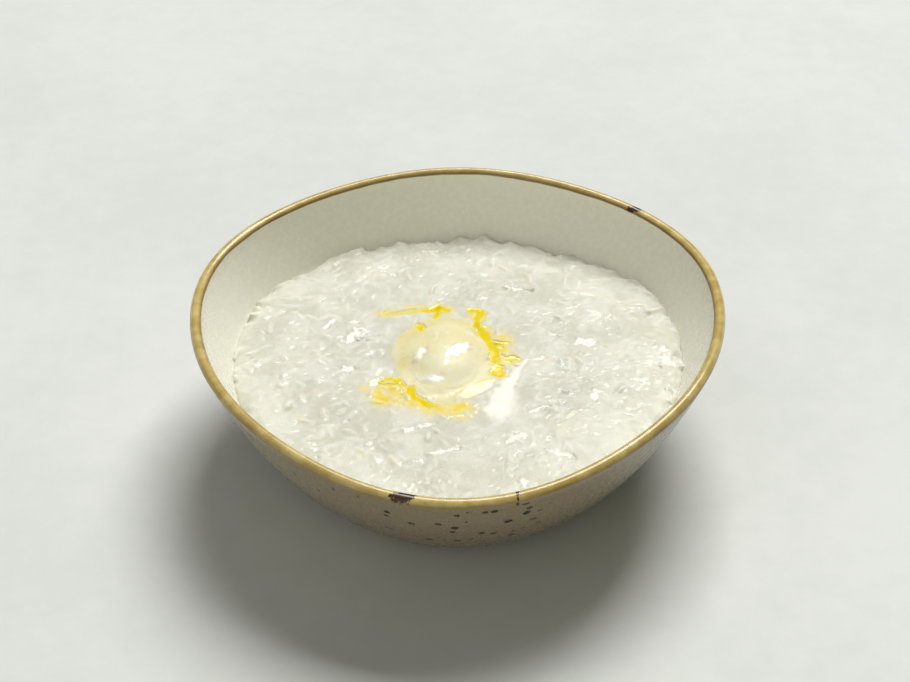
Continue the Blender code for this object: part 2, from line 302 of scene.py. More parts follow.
def add_node(tree, kind, settings=None, **inputs):
    node = tree.nodes.new(kind)
    for name, value in (settings or {}).items():
        setattr(node, name, value)
    plug_all(tree, node, **inputs)
    return node


def do_math(tree, operation, first, second):
    node = add_node(tree, "ShaderNodeMath", {"operation": operation})
    plug(tree, node.inputs[0], first)
    plug(tree, node.inputs[1], second)
    return node.outputs[0]


def do_vector_math(tree, operation, first, second=(0, 0, 0)):
    node = add_node(tree, "ShaderNodeVectorMath", {"operation": operation})
    plug(tree, node.inputs[0], first)
    plug(tree, node.inputs[1], second)
    return node.outputs


def plus(tree, first, second):
    return do_math(tree, "ADD", first, second)


def times(tree, first, second):
    return do_math(tree, "MULTIPLY", first, second)


print("node helpers ready")

# %% Patterns, colours and bumps


def object_place(tree):
    return tree.nodes.new("ShaderNodeTexCoord").outputs["Object"]


def read_number(tree, name):
    """A number that was kept at the piece's points."""
    return add_node(tree, "ShaderNodeAttribute", {"attribute_name": name}).outputs["Fac"]


def noise(tree, place, scale, detail=2.0, roughness=0.5, distortion=0.0):
    sizes = {"Scale": scale, "Detail": detail, "Roughness": roughness, "Distortion": distortion}
    return add_node(tree, "ShaderNodeTexNoise", Vector=place, **sizes).outputs["Fac"]


def ramp(tree, value, low, high, out_low=0.0, out_high=1.0, smooth=True):
    """Goes from out_low to out_high as the value goes from low to high, and no further."""
    kind = "SMOOTHSTEP" if smooth else "LINEAR"
    node = add_node(tree, "ShaderNodeMapRange", {"interpolation_type": kind})
    for socket, number in zip(node.inputs, (value, low, high, out_low, out_high)):
        plug(tree, socket, number)
    return node.outputs[0]


def swing(tree, pattern, amount):
    """Goes from -amount to amount as the noise goes from its low to its high values."""
    return ramp(tree, pattern, 0.3, 0.7, -amount, amount, False)


def mix_colours(tree, share, first, second):
    node = add_node(tree, "ShaderNodeMix", {"data_type": "RGBA"}, Factor=share)
    plug(tree, node.inputs["A"], first)
    plug(tree, node.inputs["B"], second)
    return node.outputs["Result"]


def linear(red, green, blue):
    """Turns a colour as seen on a screen, 0 to 255, into the light values that shaders use."""
    shares = [channel / 255 for channel in (red, green, blue)]
    return (*(s / 12.92 if s < 0.04045 else ((s + 0.055) / 1.055) ** 2.4 for s in shares), 1.0)


def add_bump(tree, shader, height, strength, distance=0.5 * MM):
    """Shades the surface as if it were raised where the height is greater."""
    bump = add_node(tree, "ShaderNodeBump", Height=height, Strength=strength, Distance=distance)
    plug(tree, shader.inputs["Normal"], bump.outputs["Normal"])


print("pattern helpers ready")

# %% [markdown]
# ## The glaze
# The real glaze is a warm cream whose tone changes slowly, and satin rather than glassy. Outside it
# is painted greyer and darker, as painted shade, because that wall faces away from the light. The
# front is painted browner still, as more painted shade, and the wall darker towards the foot, as a
# painted shadow near the floor. The place on the bowl sorts these out, and the number that was kept
# along the profile says which side of the lip is meant.

# %% Cream inside, painted shade outside
glaze, tree, shader = start_material("cream_glaze_with_iron_rim")
place = object_place(tree)
spot = add_node(tree, "ShaderNodeSeparateXYZ", Vector=place)
lip = read_number(tree, "from_lip")

soft_tone = noise(tree, place, 38.0, 3.0)
fine_tone = noise(tree, place, 420.0, 4.0, 0.65)
flaws = ramp(tree, fine_tone, 0.6, 0.78, 0.0, 0.05)
cream = mix_colours(tree, soft_tone, linear(247, 245, 227), linear(250, 248, 236))
cream = mix_colours(tree, flaws, cream, linear(222, 214, 188))

# The front of the outer wall is painted browner and darker, as painted shade: it faces away from
# the light.
painted_front_shade = ramp(tree, spot.outputs["Y"], -30 * MM, -88 * MM)
flaws = ramp(tree, fine_tone, 0.55, 0.8, 0.0, 0.04)
# Towards the foot the outer wall is painted darker still: a painted shadow near the floor.
painted_foot_shade = ramp(tree, spot.outputs["Z"], 44 * MM, 16 * MM, 0.0, 0.65)
# Both outer colours are greyer and darker than the cream inside: painted shade on the wall that
# faces away from the light.
outer = mix_colours(tree, soft_tone, linear(166, 158, 140), linear(174, 167, 150))
outer = mix_colours(tree, times(tree, painted_front_shade, 0.75), outer, linear(140, 121, 92))
outer = mix_colours(tree, flaws, outer, linear(130, 112, 84))
outer = mix_colours(tree, painted_foot_shade, outer, linear(112, 98, 74))
colour = mix_colours(tree, ramp(tree, lip, 0.5, -0.5), cream, outer)
print("cream and toasted glaze ready")

# %% [markdown]
# The rim was brushed with an iron wash that burns golden brown, and breaks to a dark line at both
# its edges. How far it runs down each side changes slowly along the rim, because a brush was used.
# Both widths are counted from the top of the lip, as the number along the profile is.

# %% The golden wash on the rim
WASH_INSIDE = 2.7
WASH_OUTSIDE = 3.7
wander = swing(tree, noise(tree, place, 30.0, 3.0, 0.6), 0.4)
inner_side = do_math(tree, "SUBTRACT", WASH_INSIDE, plus(tree, lip, wander))
outer_side = plus(tree, WASH_OUTSIDE, do_math(tree, "SUBTRACT", lip, wander))
from_band_edge = do_math(tree, "MINIMUM", inner_side, outer_side)
in_band = ramp(tree, from_band_edge, -0.25, 0.2)
line_starts = ramp(tree, from_band_edge, -0.4, 0.35)
line_ends = ramp(tree, from_band_edge, 1.8, 0.4)
dark_line = times(tree, times(tree, line_starts, line_ends), 0.8)
gold_tone = ramp(tree, noise(tree, place, 160.0, 4.0, 0.6), 0.35, 0.68)
gold = mix_colours(tree, gold_tone, linear(190, 163, 92), linear(217, 194, 127))
gold = mix_colours(tree, dark_line, gold, linear(118, 88, 44))
colour = mix_colours(tree, in_band, colour, gold)
print("wash from", WASH_INSIDE, "mm inside to", WASH_OUTSIDE, "mm outside")

# %% [markdown]
# Three dark marks sit where the wash gathered: two drops, and a short line at the front. Each is
# placed by distance to a point on the lip. The distance is stretched along each axis, which makes
# a round mark long or narrow, and noise makes its edge ragged.

# %% Dark marks on the rim


def near_point(tree, place, point, stretch, reach):
    """1 at a point of the surface and 0 beyond its reach, with a ragged edge."""
    offset = do_vector_math(tree, "SUBTRACT", place, point)["Vector"]
    offset = do_vector_math(tree, "MULTIPLY", offset, stretch)["Vector"]
    far = do_math(tree, "DIVIDE", do_vector_math(tree, "LENGTH", offset)["Value"], reach)
    far = plus(tree, far, swing(tree, noise(tree, place, 700.0, 3.0, 0.7), 0.35))
    return ramp(tree, far, 1.0, 0.75)


def rim_point(x, y, drop):
    """A point on the lip in the direction of x and y from the bowl's axis, lowered by the drop."""
    angle = atan2(y, x)
    reach = (RIM_RADIUS - lip_radius) * float(plan_factor(angle, 1.0))
    top = BOWL_HEIGHT + float(rim_wave(angle, BOWL_HEIGHT)) - drop
    return (reach * cos(angle), AXIS_Y + reach * sin(angle), top)


dark_marks = [
    (rim_point(-17.8, -94.6, 0.9 * MM), (0.62, 1.2, 1.5), 3.2 * MM),
    (rim_point(18.8, -94.7, 1.8 * MM), (4.2, 1.0, 0.8), 2.9 * MM),
    (rim_point(63.8, 62.6, 0.4 * MM), (0.6, 1.3, 1.0), 2.3 * MM),
]
for point, stretch, reach in dark_marks:
    mark = times(tree, near_point(tree, place, point, stretch, reach), 0.96)
    colour = mix_colours(tree, mark, colour, linear(52, 22, 16))
print(len(dark_marks), "dark marks")

# %% [markdown]
# Brown-black specks of iron cluster on the outside at the front. A Voronoi pattern cuts the surface
# into cells, each with a middle and a colour of its own. A speck is the part of a cell near its
# middle, and the cell's colour decides by chance how large the speck is and whether it shows: often
# in the cluster at the middle, seldom among the strays on the left.

# %% Iron specks
ALL_ROUND = (1.0, 1.0, 1.0)
cells = add_node(
    tree, "ShaderNodeTexVoronoi", {"feature": "F1"}, Vector=place, Scale=225.0, Randomness=1.0
)
chance = add_node(tree, "ShaderNodeSeparateColor", Color=cells.outputs["Color"])
size = ramp(tree, chance.outputs["Green"], 0.0, 1.0, 0.12, 0.36, False)
wobble = swing(tree, noise(tree, place, 900.0, 2.0), 0.06)
from_middle = plus(tree, cells.outputs["Distance"], wobble)
speck = ramp(tree, do_math(tree, "SUBTRACT", size, from_middle), -0.01, 0.02)
cluster = near_point(tree, place, (3 * MM, AXIS_Y - 82 * MM, 43 * MM), ALL_ROUND, 30 * MM)
cluster = times(tree, ramp(tree, chance.outputs["Red"], 0.32, 0.34), cluster)
strays = near_point(tree, place, (-30 * MM, AXIS_Y - 80 * MM, 46 * MM), (1.0, 1.0, 1.6), 30 * MM)
strays = times(tree, ramp(tree, chance.outputs["Red"], 0.72, 0.74), strays)
speck = times(tree, speck, do_math(tree, "MAXIMUM", cluster, strays))
speck = times(tree, speck, ramp(tree, lip, -5.0, -6.5))
colour = mix_colours(tree, times(tree, speck, 0.96), colour, linear(38, 24, 10))
print("specks of iron ready")

# %% [markdown]
# The foot ring stands bare, because glaze would stick to the kiln's shelf: fired clay, a sandy
# brown and quite dull. The glaze ripples slightly, the wash is a little glossier, and the specks
# sink in.

# %% Bare foot, gloss and ripples
bare = ramp(tree, spot.outputs["Z"], 2.1 * MM, 1.4 * MM)
clay_tone = noise(tree, place, 900.0, 3.0)
clay = mix_colours(tree, clay_tone, linear(178, 150, 118), linear(204, 182, 150))
colour = mix_colours(tree, bare, colour, clay)
rough = ramp(tree, fine_tone, 0.3, 0.7, 0.20, 0.34, False)
rough = do_math(tree, "SUBTRACT", rough, times(tree, in_band, 0.06))
rough = plus(tree, rough, times(tree, bare, 0.45))
plug_all(tree, shader, Base_Color=colour, Roughness=rough, IOR=1.5)
ripple = plus(tree, noise(tree, place, 70.0, 1.0), times(tree, fine_tone, 0.04))
ripple = do_math(tree, "SUBTRACT", ripple, times(tree, speck, 0.3))
add_bump(tree, shader, ripple, 0.25, 0.3 * MM)
bowl.data.materials.append(glaze)

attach(bowl, "root")
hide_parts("bowl")
print("glaze on", bowl.name)

# %% [markdown]
# ## The porridge as a height map
# Rice porridge is grains lying in a soft starch gel. The gel covers most grains with a thin wet
# skin, so they show as bumps that all run together. Sculpting that by hand has no end, and a plain
# noise looks like plaster. Here the surface is worked out from real grains instead: each grain is
# stamped into a fine height map, the gel is poured over them up to its own level, and the mesh
# then takes its heights from that map. All distances are measured from the bowl's axis.

# %% A map of the porridge's surface
STEP = 0.25 * MM
MAP_HALF = 86 * MM
line = np.arange(-MAP_HALF, MAP_HALF + STEP / 2, STEP)
map_x, map_y = np.meshgrid(line, line)
map_angle = np.arctan2(map_y, map_x)
map_distance = np.hypot(map_x, map_y)
draw = np.random.default_rng(7)


def blur(field, width):
    """Softens a map with a bell curve of this width."""
    up = np.fft.fftfreq(field.shape[0], STEP)[:, None]
    across = np.fft.rfftfreq(field.shape[1], STEP)[None]
    keep = np.exp(-2 * (pi * width) ** 2 * (up**2 + across**2))
    return np.fft.irfft2(np.fft.rfft2(field) * keep, s=field.shape)


def slow_noise(width):
    """A map of gentle hills of about this width, mostly between -2 and 2."""
    hills = blur(draw.standard_normal(map_x.shape), width)
    return (hills - hills.mean()) / hills.std()


def smooth_max(first, second, soft):
    """The higher of two maps, with the crease between them filled as a liquid fills it."""
    close = np.maximum(0, soft - np.abs(first - second))
    return np.maximum(first, second) + close**2 / (4 * soft)


def read_map(field, x, y):
    """The map's value at any points, blended between its samples."""
    column = np.clip((x + MAP_HALF) / STEP, 0, len(line) - 1.001)
    row = np.clip((y + MAP_HALF) / STEP, 0, len(line) - 1.001)
    c, r = column.astype(int), row.astype(int)
    dc, dr = column - c, row - r
    low = field[r, c] * (1 - dc) + field[r, c + 1] * dc
    high = field[r + 1, c] * (1 - dc) + field[r + 1, c + 1] * dc
    return low * (1 - dr) + high * dr


def smooth_step(value, low, high):
    """Rises softly from 0 to 1 as the value goes from low to high."""
    share = np.clip((value - low) / (high - low), 0, 1)
    return share * share * (3 - 2 * share)


print("map:", map_x.shape, "samples of", STEP / MM, "mm")

# %% [markdown]
# Under the grains lies a slow form: level near the wall, a little higher in the middle, rounded
# over at the edge, with soft waves where the spoon left them. The waves are sums of sines of unlike
# lengths, calm round the butter. Along the wall the form is lumpy, because there the grains were
# pushed up against the glaze, and the spoon left its level a little uneven.

# %% The slow form of the porridge
EDGE_LEVEL = 35.0 * MM
CROWN = 1.0 * MM
EDGE_ROLL = 2.1 * MM
EDGE_ROLL_WIDTH = 5.0 * MM
SWELL = 0.22 * MM
ROUGHEN = 0.12 * MM
EDGE_LUMPS = 1.2 * MM
EDGE_LUMPS_REACH = 3.8 * MM
EDGE_WAVE = 0.6 * MM
EDGE_WAVE_PEAK = radians(22)
EDGE_WAVE_REACH = 9.0 * MM
BUTTER_X = -3.6 * MM
BUTTER_Y = 2.1 * MM
BUTTER_HALF_WIDTH = 14.5 * MM
BUTTER_HALF_LENGTH = 20.0 * MM
CALM_SIZE = 1.7

map_edge = wall_distance(map_angle, EDGE_LEVEL - EDGE_ROLL / 2)
from_edge = map_edge - map_distance
share = np.minimum(1, map_distance / map_edge)
rolled = np.clip(1 - from_edge / EDGE_ROLL_WIDTH, 0, 1.3)
near_butter = np.hypot(
    (map_x - BUTTER_X) / (BUTTER_HALF_WIDTH * CALM_SIZE),
    (map_y - BUTTER_Y) / (BUTTER_HALF_LENGTH * CALM_SIZE),
)
unrest = np.clip(near_butter - 0.6, 0, 1)
waves = np.sin(map_x / (9 * MM) + 0.7) * np.cos(map_y / (11 * MM) - 0.4)
waves = SWELL * (waves + 0.7 * np.sin((map_x + map_y) / (6 * MM)))
base_map = EDGE_LEVEL + CROWN * (1 - share**4) - EDGE_ROLL * rolled**2 + waves * unrest
base_map += ROUGHEN * slow_noise(3.2 * MM) * unrest
lumps = 0.85 * slow_noise(2.0 * MM) + 0.3 * slow_noise(1.1 * MM)
lumps *= 0.65 + 0.35 * np.sin(map_angle)
base_map += EDGE_LUMPS * lumps * np.exp(-((from_edge / EDGE_LUMPS_REACH) ** 2))
pushed_up = np.exp(-((from_edge / EDGE_WAVE_REACH) ** 2))
base_map += EDGE_WAVE * np.cos(4 * (map_angle - EDGE_WAVE_PEAK)) * pushed_up
print("surface from", round(base_map.min() / MM, 1), "to", round(base_map.max() / MM, 1), "mm")

# %% [markdown]
# Cooked rice of this kind is about 8 mm long and 3 mm wide. The grains are thrown down one by one,
# each kept if no other grain's middle is too near. Each gets its own size, turn, tilt, bend and
# depth. Near the wall they lie along it, as grains do that a spoon has pushed to the side.

# %% Throw down the grains
GRAIN_LENGTH = 8.2 * MM
GRAIN_WIDTH = 3.0 * MM
GRAIN_HEIGHT = 2.4 * MM
GRAINS_WANTED = 1900
THROW_HALF = 83 * MM
THROWN_AT_ONCE = 400
FIRST_SPACING = 2.75 * MM
CLEAR_OF_WALL = 1.3 * MM
LIE_ALONG_WALL = 4.5 * MM

spacing = FIRST_SPACING
spots = np.zeros((0, 2))
while len(spots) < GRAINS_WANTED:
    for spot in draw.uniform(-THROW_HALF, THROW_HALF, (THROWN_AT_ONCE, 2)):
        reach = float(wall_distance(atan2(spot[1], spot[0]), EDGE_LEVEL - EDGE_ROLL / 2))
        if hypot(*spot) > reach - CLEAR_OF_WALL:
            continue
        if len(spots) and np.min(np.sum((spots - spot) ** 2, axis=1)) < spacing**2:
            continue
        spots = np.vstack([spots, spot])
    spacing *= 0.985
count = len(spots)
grain = {
    "x": spots[:, 0],
    "y": spots[:, 1],
    "turn": draw.uniform(0, pi, count),
    "length": GRAIN_LENGTH * draw.uniform(0.72, 1.1, count),
    "width": GRAIN_WIDTH * draw.uniform(0.85, 1.15, count),
    "height": GRAIN_HEIGHT * draw.uniform(0.85, 1.1, count),
    "tilt": draw.normal(0, 0.11, count),
    "bend": draw.uniform(-0.035, 0.035, count) / MM,
    "sunk": draw.uniform(0.9, 2.3, count) * MM,
    "tone": draw.uniform(0, 1, count),
}
grain_angle = np.arctan2(grain["y"], grain["x"])
from_wall = wall_distance(grain_angle, EDGE_LEVEL) - np.hypot(grain["x"], grain["y"])
along_wall = grain_angle + pi / 2 + draw.normal(0, 0.35, count)
grain["turn"] = np.where(from_wall < LIE_ALONG_WALL, along_wall, grain["turn"])
grain["z"] = read_map(base_map, grain["x"], grain["y"]) - grain["sunk"]
print(count, "grains")

# %% [markdown]
# A stamp is the upper half of a grain: blunt along its length, round across it, and bent by its
# own bow. Where two stamps meet, the higher one shows, as it would in the bowl. A second map keeps
# each grain's tone, since no two grains are quite alike in colour.

# %% Stamp the grains into the map
BARE_DEPTH = 1.6 * MM
grain_map = np.full(map_x.shape, EDGE_LEVEL - 20 * MM)
tone_map = np.full(map_x.shape, 0.5)
for i in range(count):
    reach = grain["length"][i] * 0.6
    c0, c1 = np.searchsorted(line, [grain["x"][i] - reach, grain["x"][i] + reach])
    r0, r1 = np.searchsorted(line, [grain["y"][i] - reach, grain["y"][i] + reach])
    dx = map_x[r0:r1, c0:c1] - grain["x"][i]
    dy = map_y[r0:r1, c0:c1] - grain["y"][i]
    turn = grain["turn"][i]
    u = dx * cos(turn) + dy * sin(turn)
    v = -dx * sin(turn) + dy * cos(turn) - grain["bend"][i] * u**2
    round_off = 1 - np.abs(2 * u / grain["length"][i]) ** 2.5 - (2 * v / grain["width"][i]) ** 2
    stamp = grain["z"][i] + grain["tilt"][i] * u
    stamp = stamp + grain["height"][i] / 2 * np.sqrt(np.maximum(round_off, 0))
    stamp = np.where(round_off > 0, stamp, -1.0)
    window = grain_map[r0:r1, c0:c1]
    on_top = stamp > window
    window[on_top] = stamp[on_top]
    tone_map[r0:r1, c0:c1][on_top] = grain["tone"][i]
grain_map = np.maximum(grain_map, base_map - BARE_DEPTH)
print("grains stand up to", round((grain_map - base_map).max() / MM, 2), "mm over the slow form")

# %% [markdown]
# The melted butter runs in narrow channels round the lump, and lies in small puddles. Each channel
# is a route of points with a half width at each. A map tells how far every place is from the
# route, counted in half widths, so 1 is the channel's shore.

# %% Routes of the melted butter
POOL_LEVEL = 35.75 * MM


def channel(route):
    """A map of how far each place is from a route of x, y and half width in mm."""
    nearest = np.full(map_x.shape, 99.0)
    route = [(x * MM, y * MM, half * MM) for x, y, half in route]
    for (x0, y0, half0), (x1, y1, half1) in zip(route, route[1:]):
        dx, dy = x1 - x0, y1 - y0
        along = ((map_x - x0) * dx + (map_y - y0) * dy) / (dx * dx + dy * dy)
        along = np.clip(along, 0, 1)
        away = np.hypot(map_x - x0 - along * dx, map_y - y0 - along * dy)
        nearest = np.minimum(nearest, away / (half0 + along * (half1 - half0)))
    return nearest


right_channel = channel(
    [(6.6, 20.5, 1.8), (9.4, 15.5, 2.1), (12.4, 8.4, 3.0), (14.0, 0.6, 3.6), (14.3, -7.5, 2.8)]
)
front_channel = channel(
    [(-19.6, -12.4, 0.9), (-17.4, -15.6, 1.5), (-16.0, -18.8, 1.6), (-13.8, -21.6, 1.9),
     (-11.2, -24.4, 1.5), (-7.6, -25.2, 0.8)]
)
back_channel = channel(
    [(-25.5, 26.8, 0.7), (-20.0, 28.4, 0.9), (-14.0, 29.6, 0.8), (-9.2, 30.2, 1.4),
     (-6.2, 31.2, 1.7), (-3.8, 29.8, 1.3)]
)
side_films = [
    channel([(5.2, 29.8, 1.3), (8.6, 28.8, 1.3), (7.0, 24.0, 1.5), (6.6, 20.5, 1.4)]),
    channel([(15.0, 0.4, 1.3), (18.6, 1.6, 1.0), (22.0, 0.2, 0.8)]),
    channel([(14.4, 9.0, 1.2), (17.8, 10.2, 0.8)]),
    channel([(-27.2, -11.0, 0.8), (-23.8, -10.0, 1.3), (-20.6, -10.8, 1.0)]),
    channel([(-6.8, 30.4, 1.2), (-7.4, 27.4, 1.1), (-8.8, 24.8, 0.7)]),
    channel([(-14.4, 20.6, 1.1), (-13.2, 18.2, 1.0)]),
]
film_channel = np.minimum.reduce(side_films)
clear_channels = [right_channel, front_channel, back_channel, film_channel]
cream_film = channel(
    [(24.2, -0.4, 0.8), (20.8, -6.8, 1.7), (17.4, -12.6, 2.9), (15.4, -19.0, 4.0),
     (14.2, -27.0, 5.2)]
)
shore = 0.30 * slow_noise(0.7 * MM) + 0.22 * slow_noise(1.8 * MM)
print(len(clear_channels), "maps of clear butter and one of the creamy film")

# %% [markdown]
# Now the gel is poured. It fills the gaps between grains up to its level, which rises and falls
# slowly, so some patches are calm and others grainy. It clings over the grains in a thin skin and
# bridges neighbours. In some patches the skin has dried a little and wrinkles. Another map keeps
# where the skin is smooth and wet.

# %% Pour the gel
SKIN = 0.04 * MM
BRIDGE = 0.06 * MM
GEL_SUNK = 0.13 * MM
GEL_SWELL = 0.15 * MM
GEL_RIPPLE = 0.03 * MM

skin = blur(grain_map, 0.36 * MM) + SKIN
bridges = blur(grain_map, 1.4 * MM) + BRIDGE
gel_level = base_map - GEL_SUNK + GEL_SWELL * slow_noise(4.5 * MM)
gel_level += GEL_RIPPLE * slow_noise(1.3 * MM)
gel_map = smooth_max(skin, smooth_max(bridges, gel_level, 0.5 * MM), 0.25 * MM)
wrinkled = np.clip(slow_noise(2.5 * MM) - 0.7, 0, 1)
gel_map += (0.010 + 0.045 * wrinkled) * MM * slow_noise(0.45 * MM)
wet_map = np.clip(slow_noise(0.5 * MM) - 1.0 + 0.5 * slow_noise(4.0 * MM), 0, 1)
print("gel poured up to", round(gel_map.max() / MM, 1), "mm")

# %% [markdown]
# Here and there the wet skin stretches smoothly from grain to grain. Where such a patch leans a
# little to the right and to the front it mirrors the whole light, as a white leaf. So each patch is
# a piece of a leaning plane. How far it has to lean changes over the bowl, because from each place
# the camera and the light lie in slightly other directions.

# %% A leaning patch
ragged = 0.15 * slow_noise(0.9 * MM) + 0.20 * slow_noise(0.45 * MM)


def stretch_patch(
    field, levels, x, y, half_width, half_depth, turn, tip=(0.0, 0.0), rise=0.0, pull=1.0,
    fray=1.0, soft=0.5, shine=1.0,
):
    """Lays a leaning plane into the field at x and y, in mm, at the height that levels gives there.

    It is tipped and raised by tip and rise, and pulls the field to itself by the share pull. Its
    edge is ragged by fray and fades over soft. Its wetness, shine, goes into the wet map.
    """
    reach = 2.0 * max(half_width, half_depth)
    columns = slice(*np.searchsorted(line, [(x - reach) * MM, (x + reach) * MM]))
    rows = slice(*np.searchsorted(line, [(y - reach) * MM, (y + reach) * MM]))
    dx, dy = map_x[rows, columns] / MM - x, map_y[rows, columns] / MM - y
    along = (dx * cos(turn) + dy * sin(turn)) / half_width
    across = (dy * cos(turn) - dx * sin(turn)) / half_depth
    frayed = np.hypot(along, across) + fray * ragged[rows, columns]
    share = smooth_step(frayed, 1.3, 1.3 - soft)
    lean_right = 0.115 - 0.0009 * x + tip[0]
    lean_front = 0.140 + 0.0006 * y + tip[1]
    middle = float(read_map(levels, x * MM, y * MM)) / MM + rise
    plane = (middle - lean_right * dx + lean_front * dy) * MM
    field[rows, columns] += pull * share * (plane - field[rows, columns])
    wet_map[rows, columns] = np.maximum(wet_map[rows, columns], shine * share)


print("ragged edges up to", round(float(ragged.max()), 1), "of a patch's half size")

# %% [markdown]
# The largest patches are laid one by one: a place, two half sizes and a turn each. Over a thousand
# small flecks follow, thrown down in loose clusters, each leaning a little differently.

# %% Stretch the smooth wet patches
FLECKS = 1500
FLECK_SIZE = 0.60
FLECKS_REACH = 77
wet_patches = [
    (-36.1, 15.7, 4.2, 3.2, 0.5), (-28.6, -10.5, 1.3, 3.0, -0.5), (-39.0, -3.8, 2.0, 2.2, 0.3),
    (-46.0, 22.7, 1.0, 3.2, -0.6), (45.8, 10.4, 3.4, 2.2, -0.5), (36.9, -3.0, 0.8, 3.2, 0.1),
    (29.1, 1.4, 2.4, 0.8, 0.2), (-12.2, -35.9, 5.0, 1.1, 0.35), (-4.8, -48.7, 6.0, 0.9, 0.25),
    (18.6, -42.9, 4.6, 0.9, 0.6), (33.8, -50.0, 5.0, 0.8, -0.3), (22.4, -64.5, 3.2, 1.3, -0.4),
    (27.0, -27.4, 6.0, 0.8, 0.45), (22.2, 42.7, 4.4, 0.8, -0.2), (8.3, 36.1, 3.4, 0.7, 0.5),
    (35.2, -17.0, 2.0, 1.4, 0.4), (74.0, -0.8, 2.0, 2.8, 0.2), (47.0, -20.0, 1.2, 2.4, 0.1),
    (-60.0, -8.0, 1.6, 1.2, 0.4), (55.0, 25.0, 2.2, 1.0, 0.6), (-20.0, 45.0, 2.4, 0.8, 0.1),
]
level_map = blur(gel_map, 2.0 * MM)
for patch in wet_patches:
    stretch_patch(gel_map, level_map, *patch, fray=1.6)
level_map = blur(gel_map, 0.7 * MM)
clusters = slow_noise(7.0 * MM)
laid = 0
while laid < FLECKS:
    x, y = draw.uniform(-80, 80, 2)
    half_width = FLECK_SIZE * float(np.exp(draw.normal(0.2, 0.42)))
    half_depth = half_width * draw.uniform(0.22, 0.5)
    turn, chance = draw.uniform(-0.6, 1.3), draw.uniform(0, 1)
    tip = draw.normal(0, 0.045, 2)
    crowding = 0.45 + 0.4 * float(read_map(clusters, x * MM, y * MM))
    if hypot(x, y) > FLECKS_REACH or crowding < chance:
        continue
    stretch_patch(gel_map, level_map, x, y, half_width, half_depth, turn, tip, shine=0.7)
    laid += 1
print(len(wet_patches), "wet patches and", laid, "flecks")

# %% [markdown]
# Creamy butter ran off the lump to the front right and set as a smooth film. It slopes down a
# little to the right and to the front, and covers the grains where it is thick.

# %% The creamy film
cream_share = smooth_step(cream_film + 0.5 * shore, 1.3, 0.7)
cream_level = 36.3 * MM - 0.05 * (map_x - 15.5 * MM) + 0.045 * (map_y + 20 * MM)
cream_level += 0.04 * MM * slow_noise(2.0 * MM)
gel_map += cream_share * (cream_level - gel_map)
wet_map *= 1 - cream_share
print("film over", round(float((cream_share > 0.5).sum()) * (STEP / MM) ** 2), "square mm")

# %% [markdown]
# The lump is a low mound, and the fat at its foot spreads in a soft fillet, so one map describes
# both: the mesh of the lump takes its middle and the gel takes the rest. The lump sags into a
# shoulder on the left and another in front. The fat slumps as it softens, which leaves smooth
# leaning patches here too: a place, two half sizes, a turn and a pull each.

# %% The lump and the fat at its foot
BUTTER_BASE = 34.35 * MM
BUTTER_FOOT = 36.0 * MM
BUTTER_RISE = 4.6 * MM
FOOT_FILLET = 1.1 * MM
FOOT_OVERLAP = 2.5 * MM
fat_patches = [
    (-13.2, 0.4, 4.0, 1.9, 1.1, 0.8), (-0.4, 0.2, 6.0, 3.2, 0.8, 0.9),
    (-7.8, -12.2, 3.8, 1.6, 0.15, 0.65),
]
shoulders = [(-16.2, 0.8, 4.2, 7.5, 1.0), (-9.5, -14.5, 6.0, 4.0, 0.8)]
butter_angle = np.arctan2(map_y - BUTTER_Y, map_x - BUTTER_X)
butter_away = np.hypot(map_x - BUTTER_X, map_y - BUTTER_Y)


def butter_edge(angle):
    """How far the lump's outline is from its middle: an oval, a little out of true."""
    oval = 1 / np.hypot(np.cos(angle) / BUTTER_HALF_WIDTH, np.sin(angle) / BUTTER_HALF_LENGTH)
    return oval * (1 + 0.035 * np.sin(3 * angle + 0.6) + 0.02 * np.sin(5 * angle))


def bell(x, y, half_width, half_depth):
    """A map with a soft hill of height 1 at x and y, in mm."""
    return np.exp(-(((map_x / MM - x) / half_width) ** 2) - ((map_y / MM - y) / half_depth) ** 2)


under_butter = butter_away / butter_edge(butter_angle)
beyond_butter = butter_away - butter_edge(butter_angle)
mound = BUTTER_FOOT + BUTTER_RISE * np.maximum(1 - under_butter**2.9, 0) ** 1.35
mound -= 20 * MM * np.maximum(under_butter - 1, 0)
foot_reach = (2.6 - 0.6 * np.cos(butter_angle) - 0.8 * np.sin(butter_angle)) * MM
past_foot = np.clip((beyond_butter + FOOT_OVERLAP) / (foot_reach + FOOT_OVERLAP), 0, 3)
foot_level = BUTTER_FOOT + FOOT_FILLET * np.clip(1 - past_foot, 0, 1) ** 1.3
foot_level -= 0.9 * MM * np.maximum(past_foot - 1, 0) ** 2
foot_level += 0.05 * MM * slow_noise(1.6 * MM)
fat_map = smooth_max(mound, foot_level, 1.0 * MM) + 0.12 * MM * slow_noise(2.6 * MM)
fat_map += 0.25 * MM * slow_noise(4.5 * MM)
for *place_and_size, height in shoulders:
    fat_map += height * MM * bell(*place_and_size)
level_map = blur(fat_map, 1.0 * MM)
for *patch, pull in fat_patches:
    stretch_patch(fat_map, level_map, *patch, pull=pull, fray=0.5, soft=0.8)
print("the lump's top is at", round(fat_map.max() / MM, 1), "mm")

# %% [markdown]
# The gel rises over the foot of the lump, up to a ragged seam where the lump's own mesh comes out
# of it. Either side tucks a hair under the other there, so that they cross cleanly. Last, the
# channels of clear butter are pressed in, and the grains' relief stays in them, so their shores are
# as ragged as the porridge is. Far from its route a groove climbs steeply and leaves the gel alone.

# %% Join the fat to the gel, and press in the channels
SEAM = 0.91
SEAM_START, SEAM_END = 0.85, 0.97
TUCK = 0.06 * MM
BESIDE_BUTTER = (6.6, -15.8, 6.8, 2.7, 0.64)

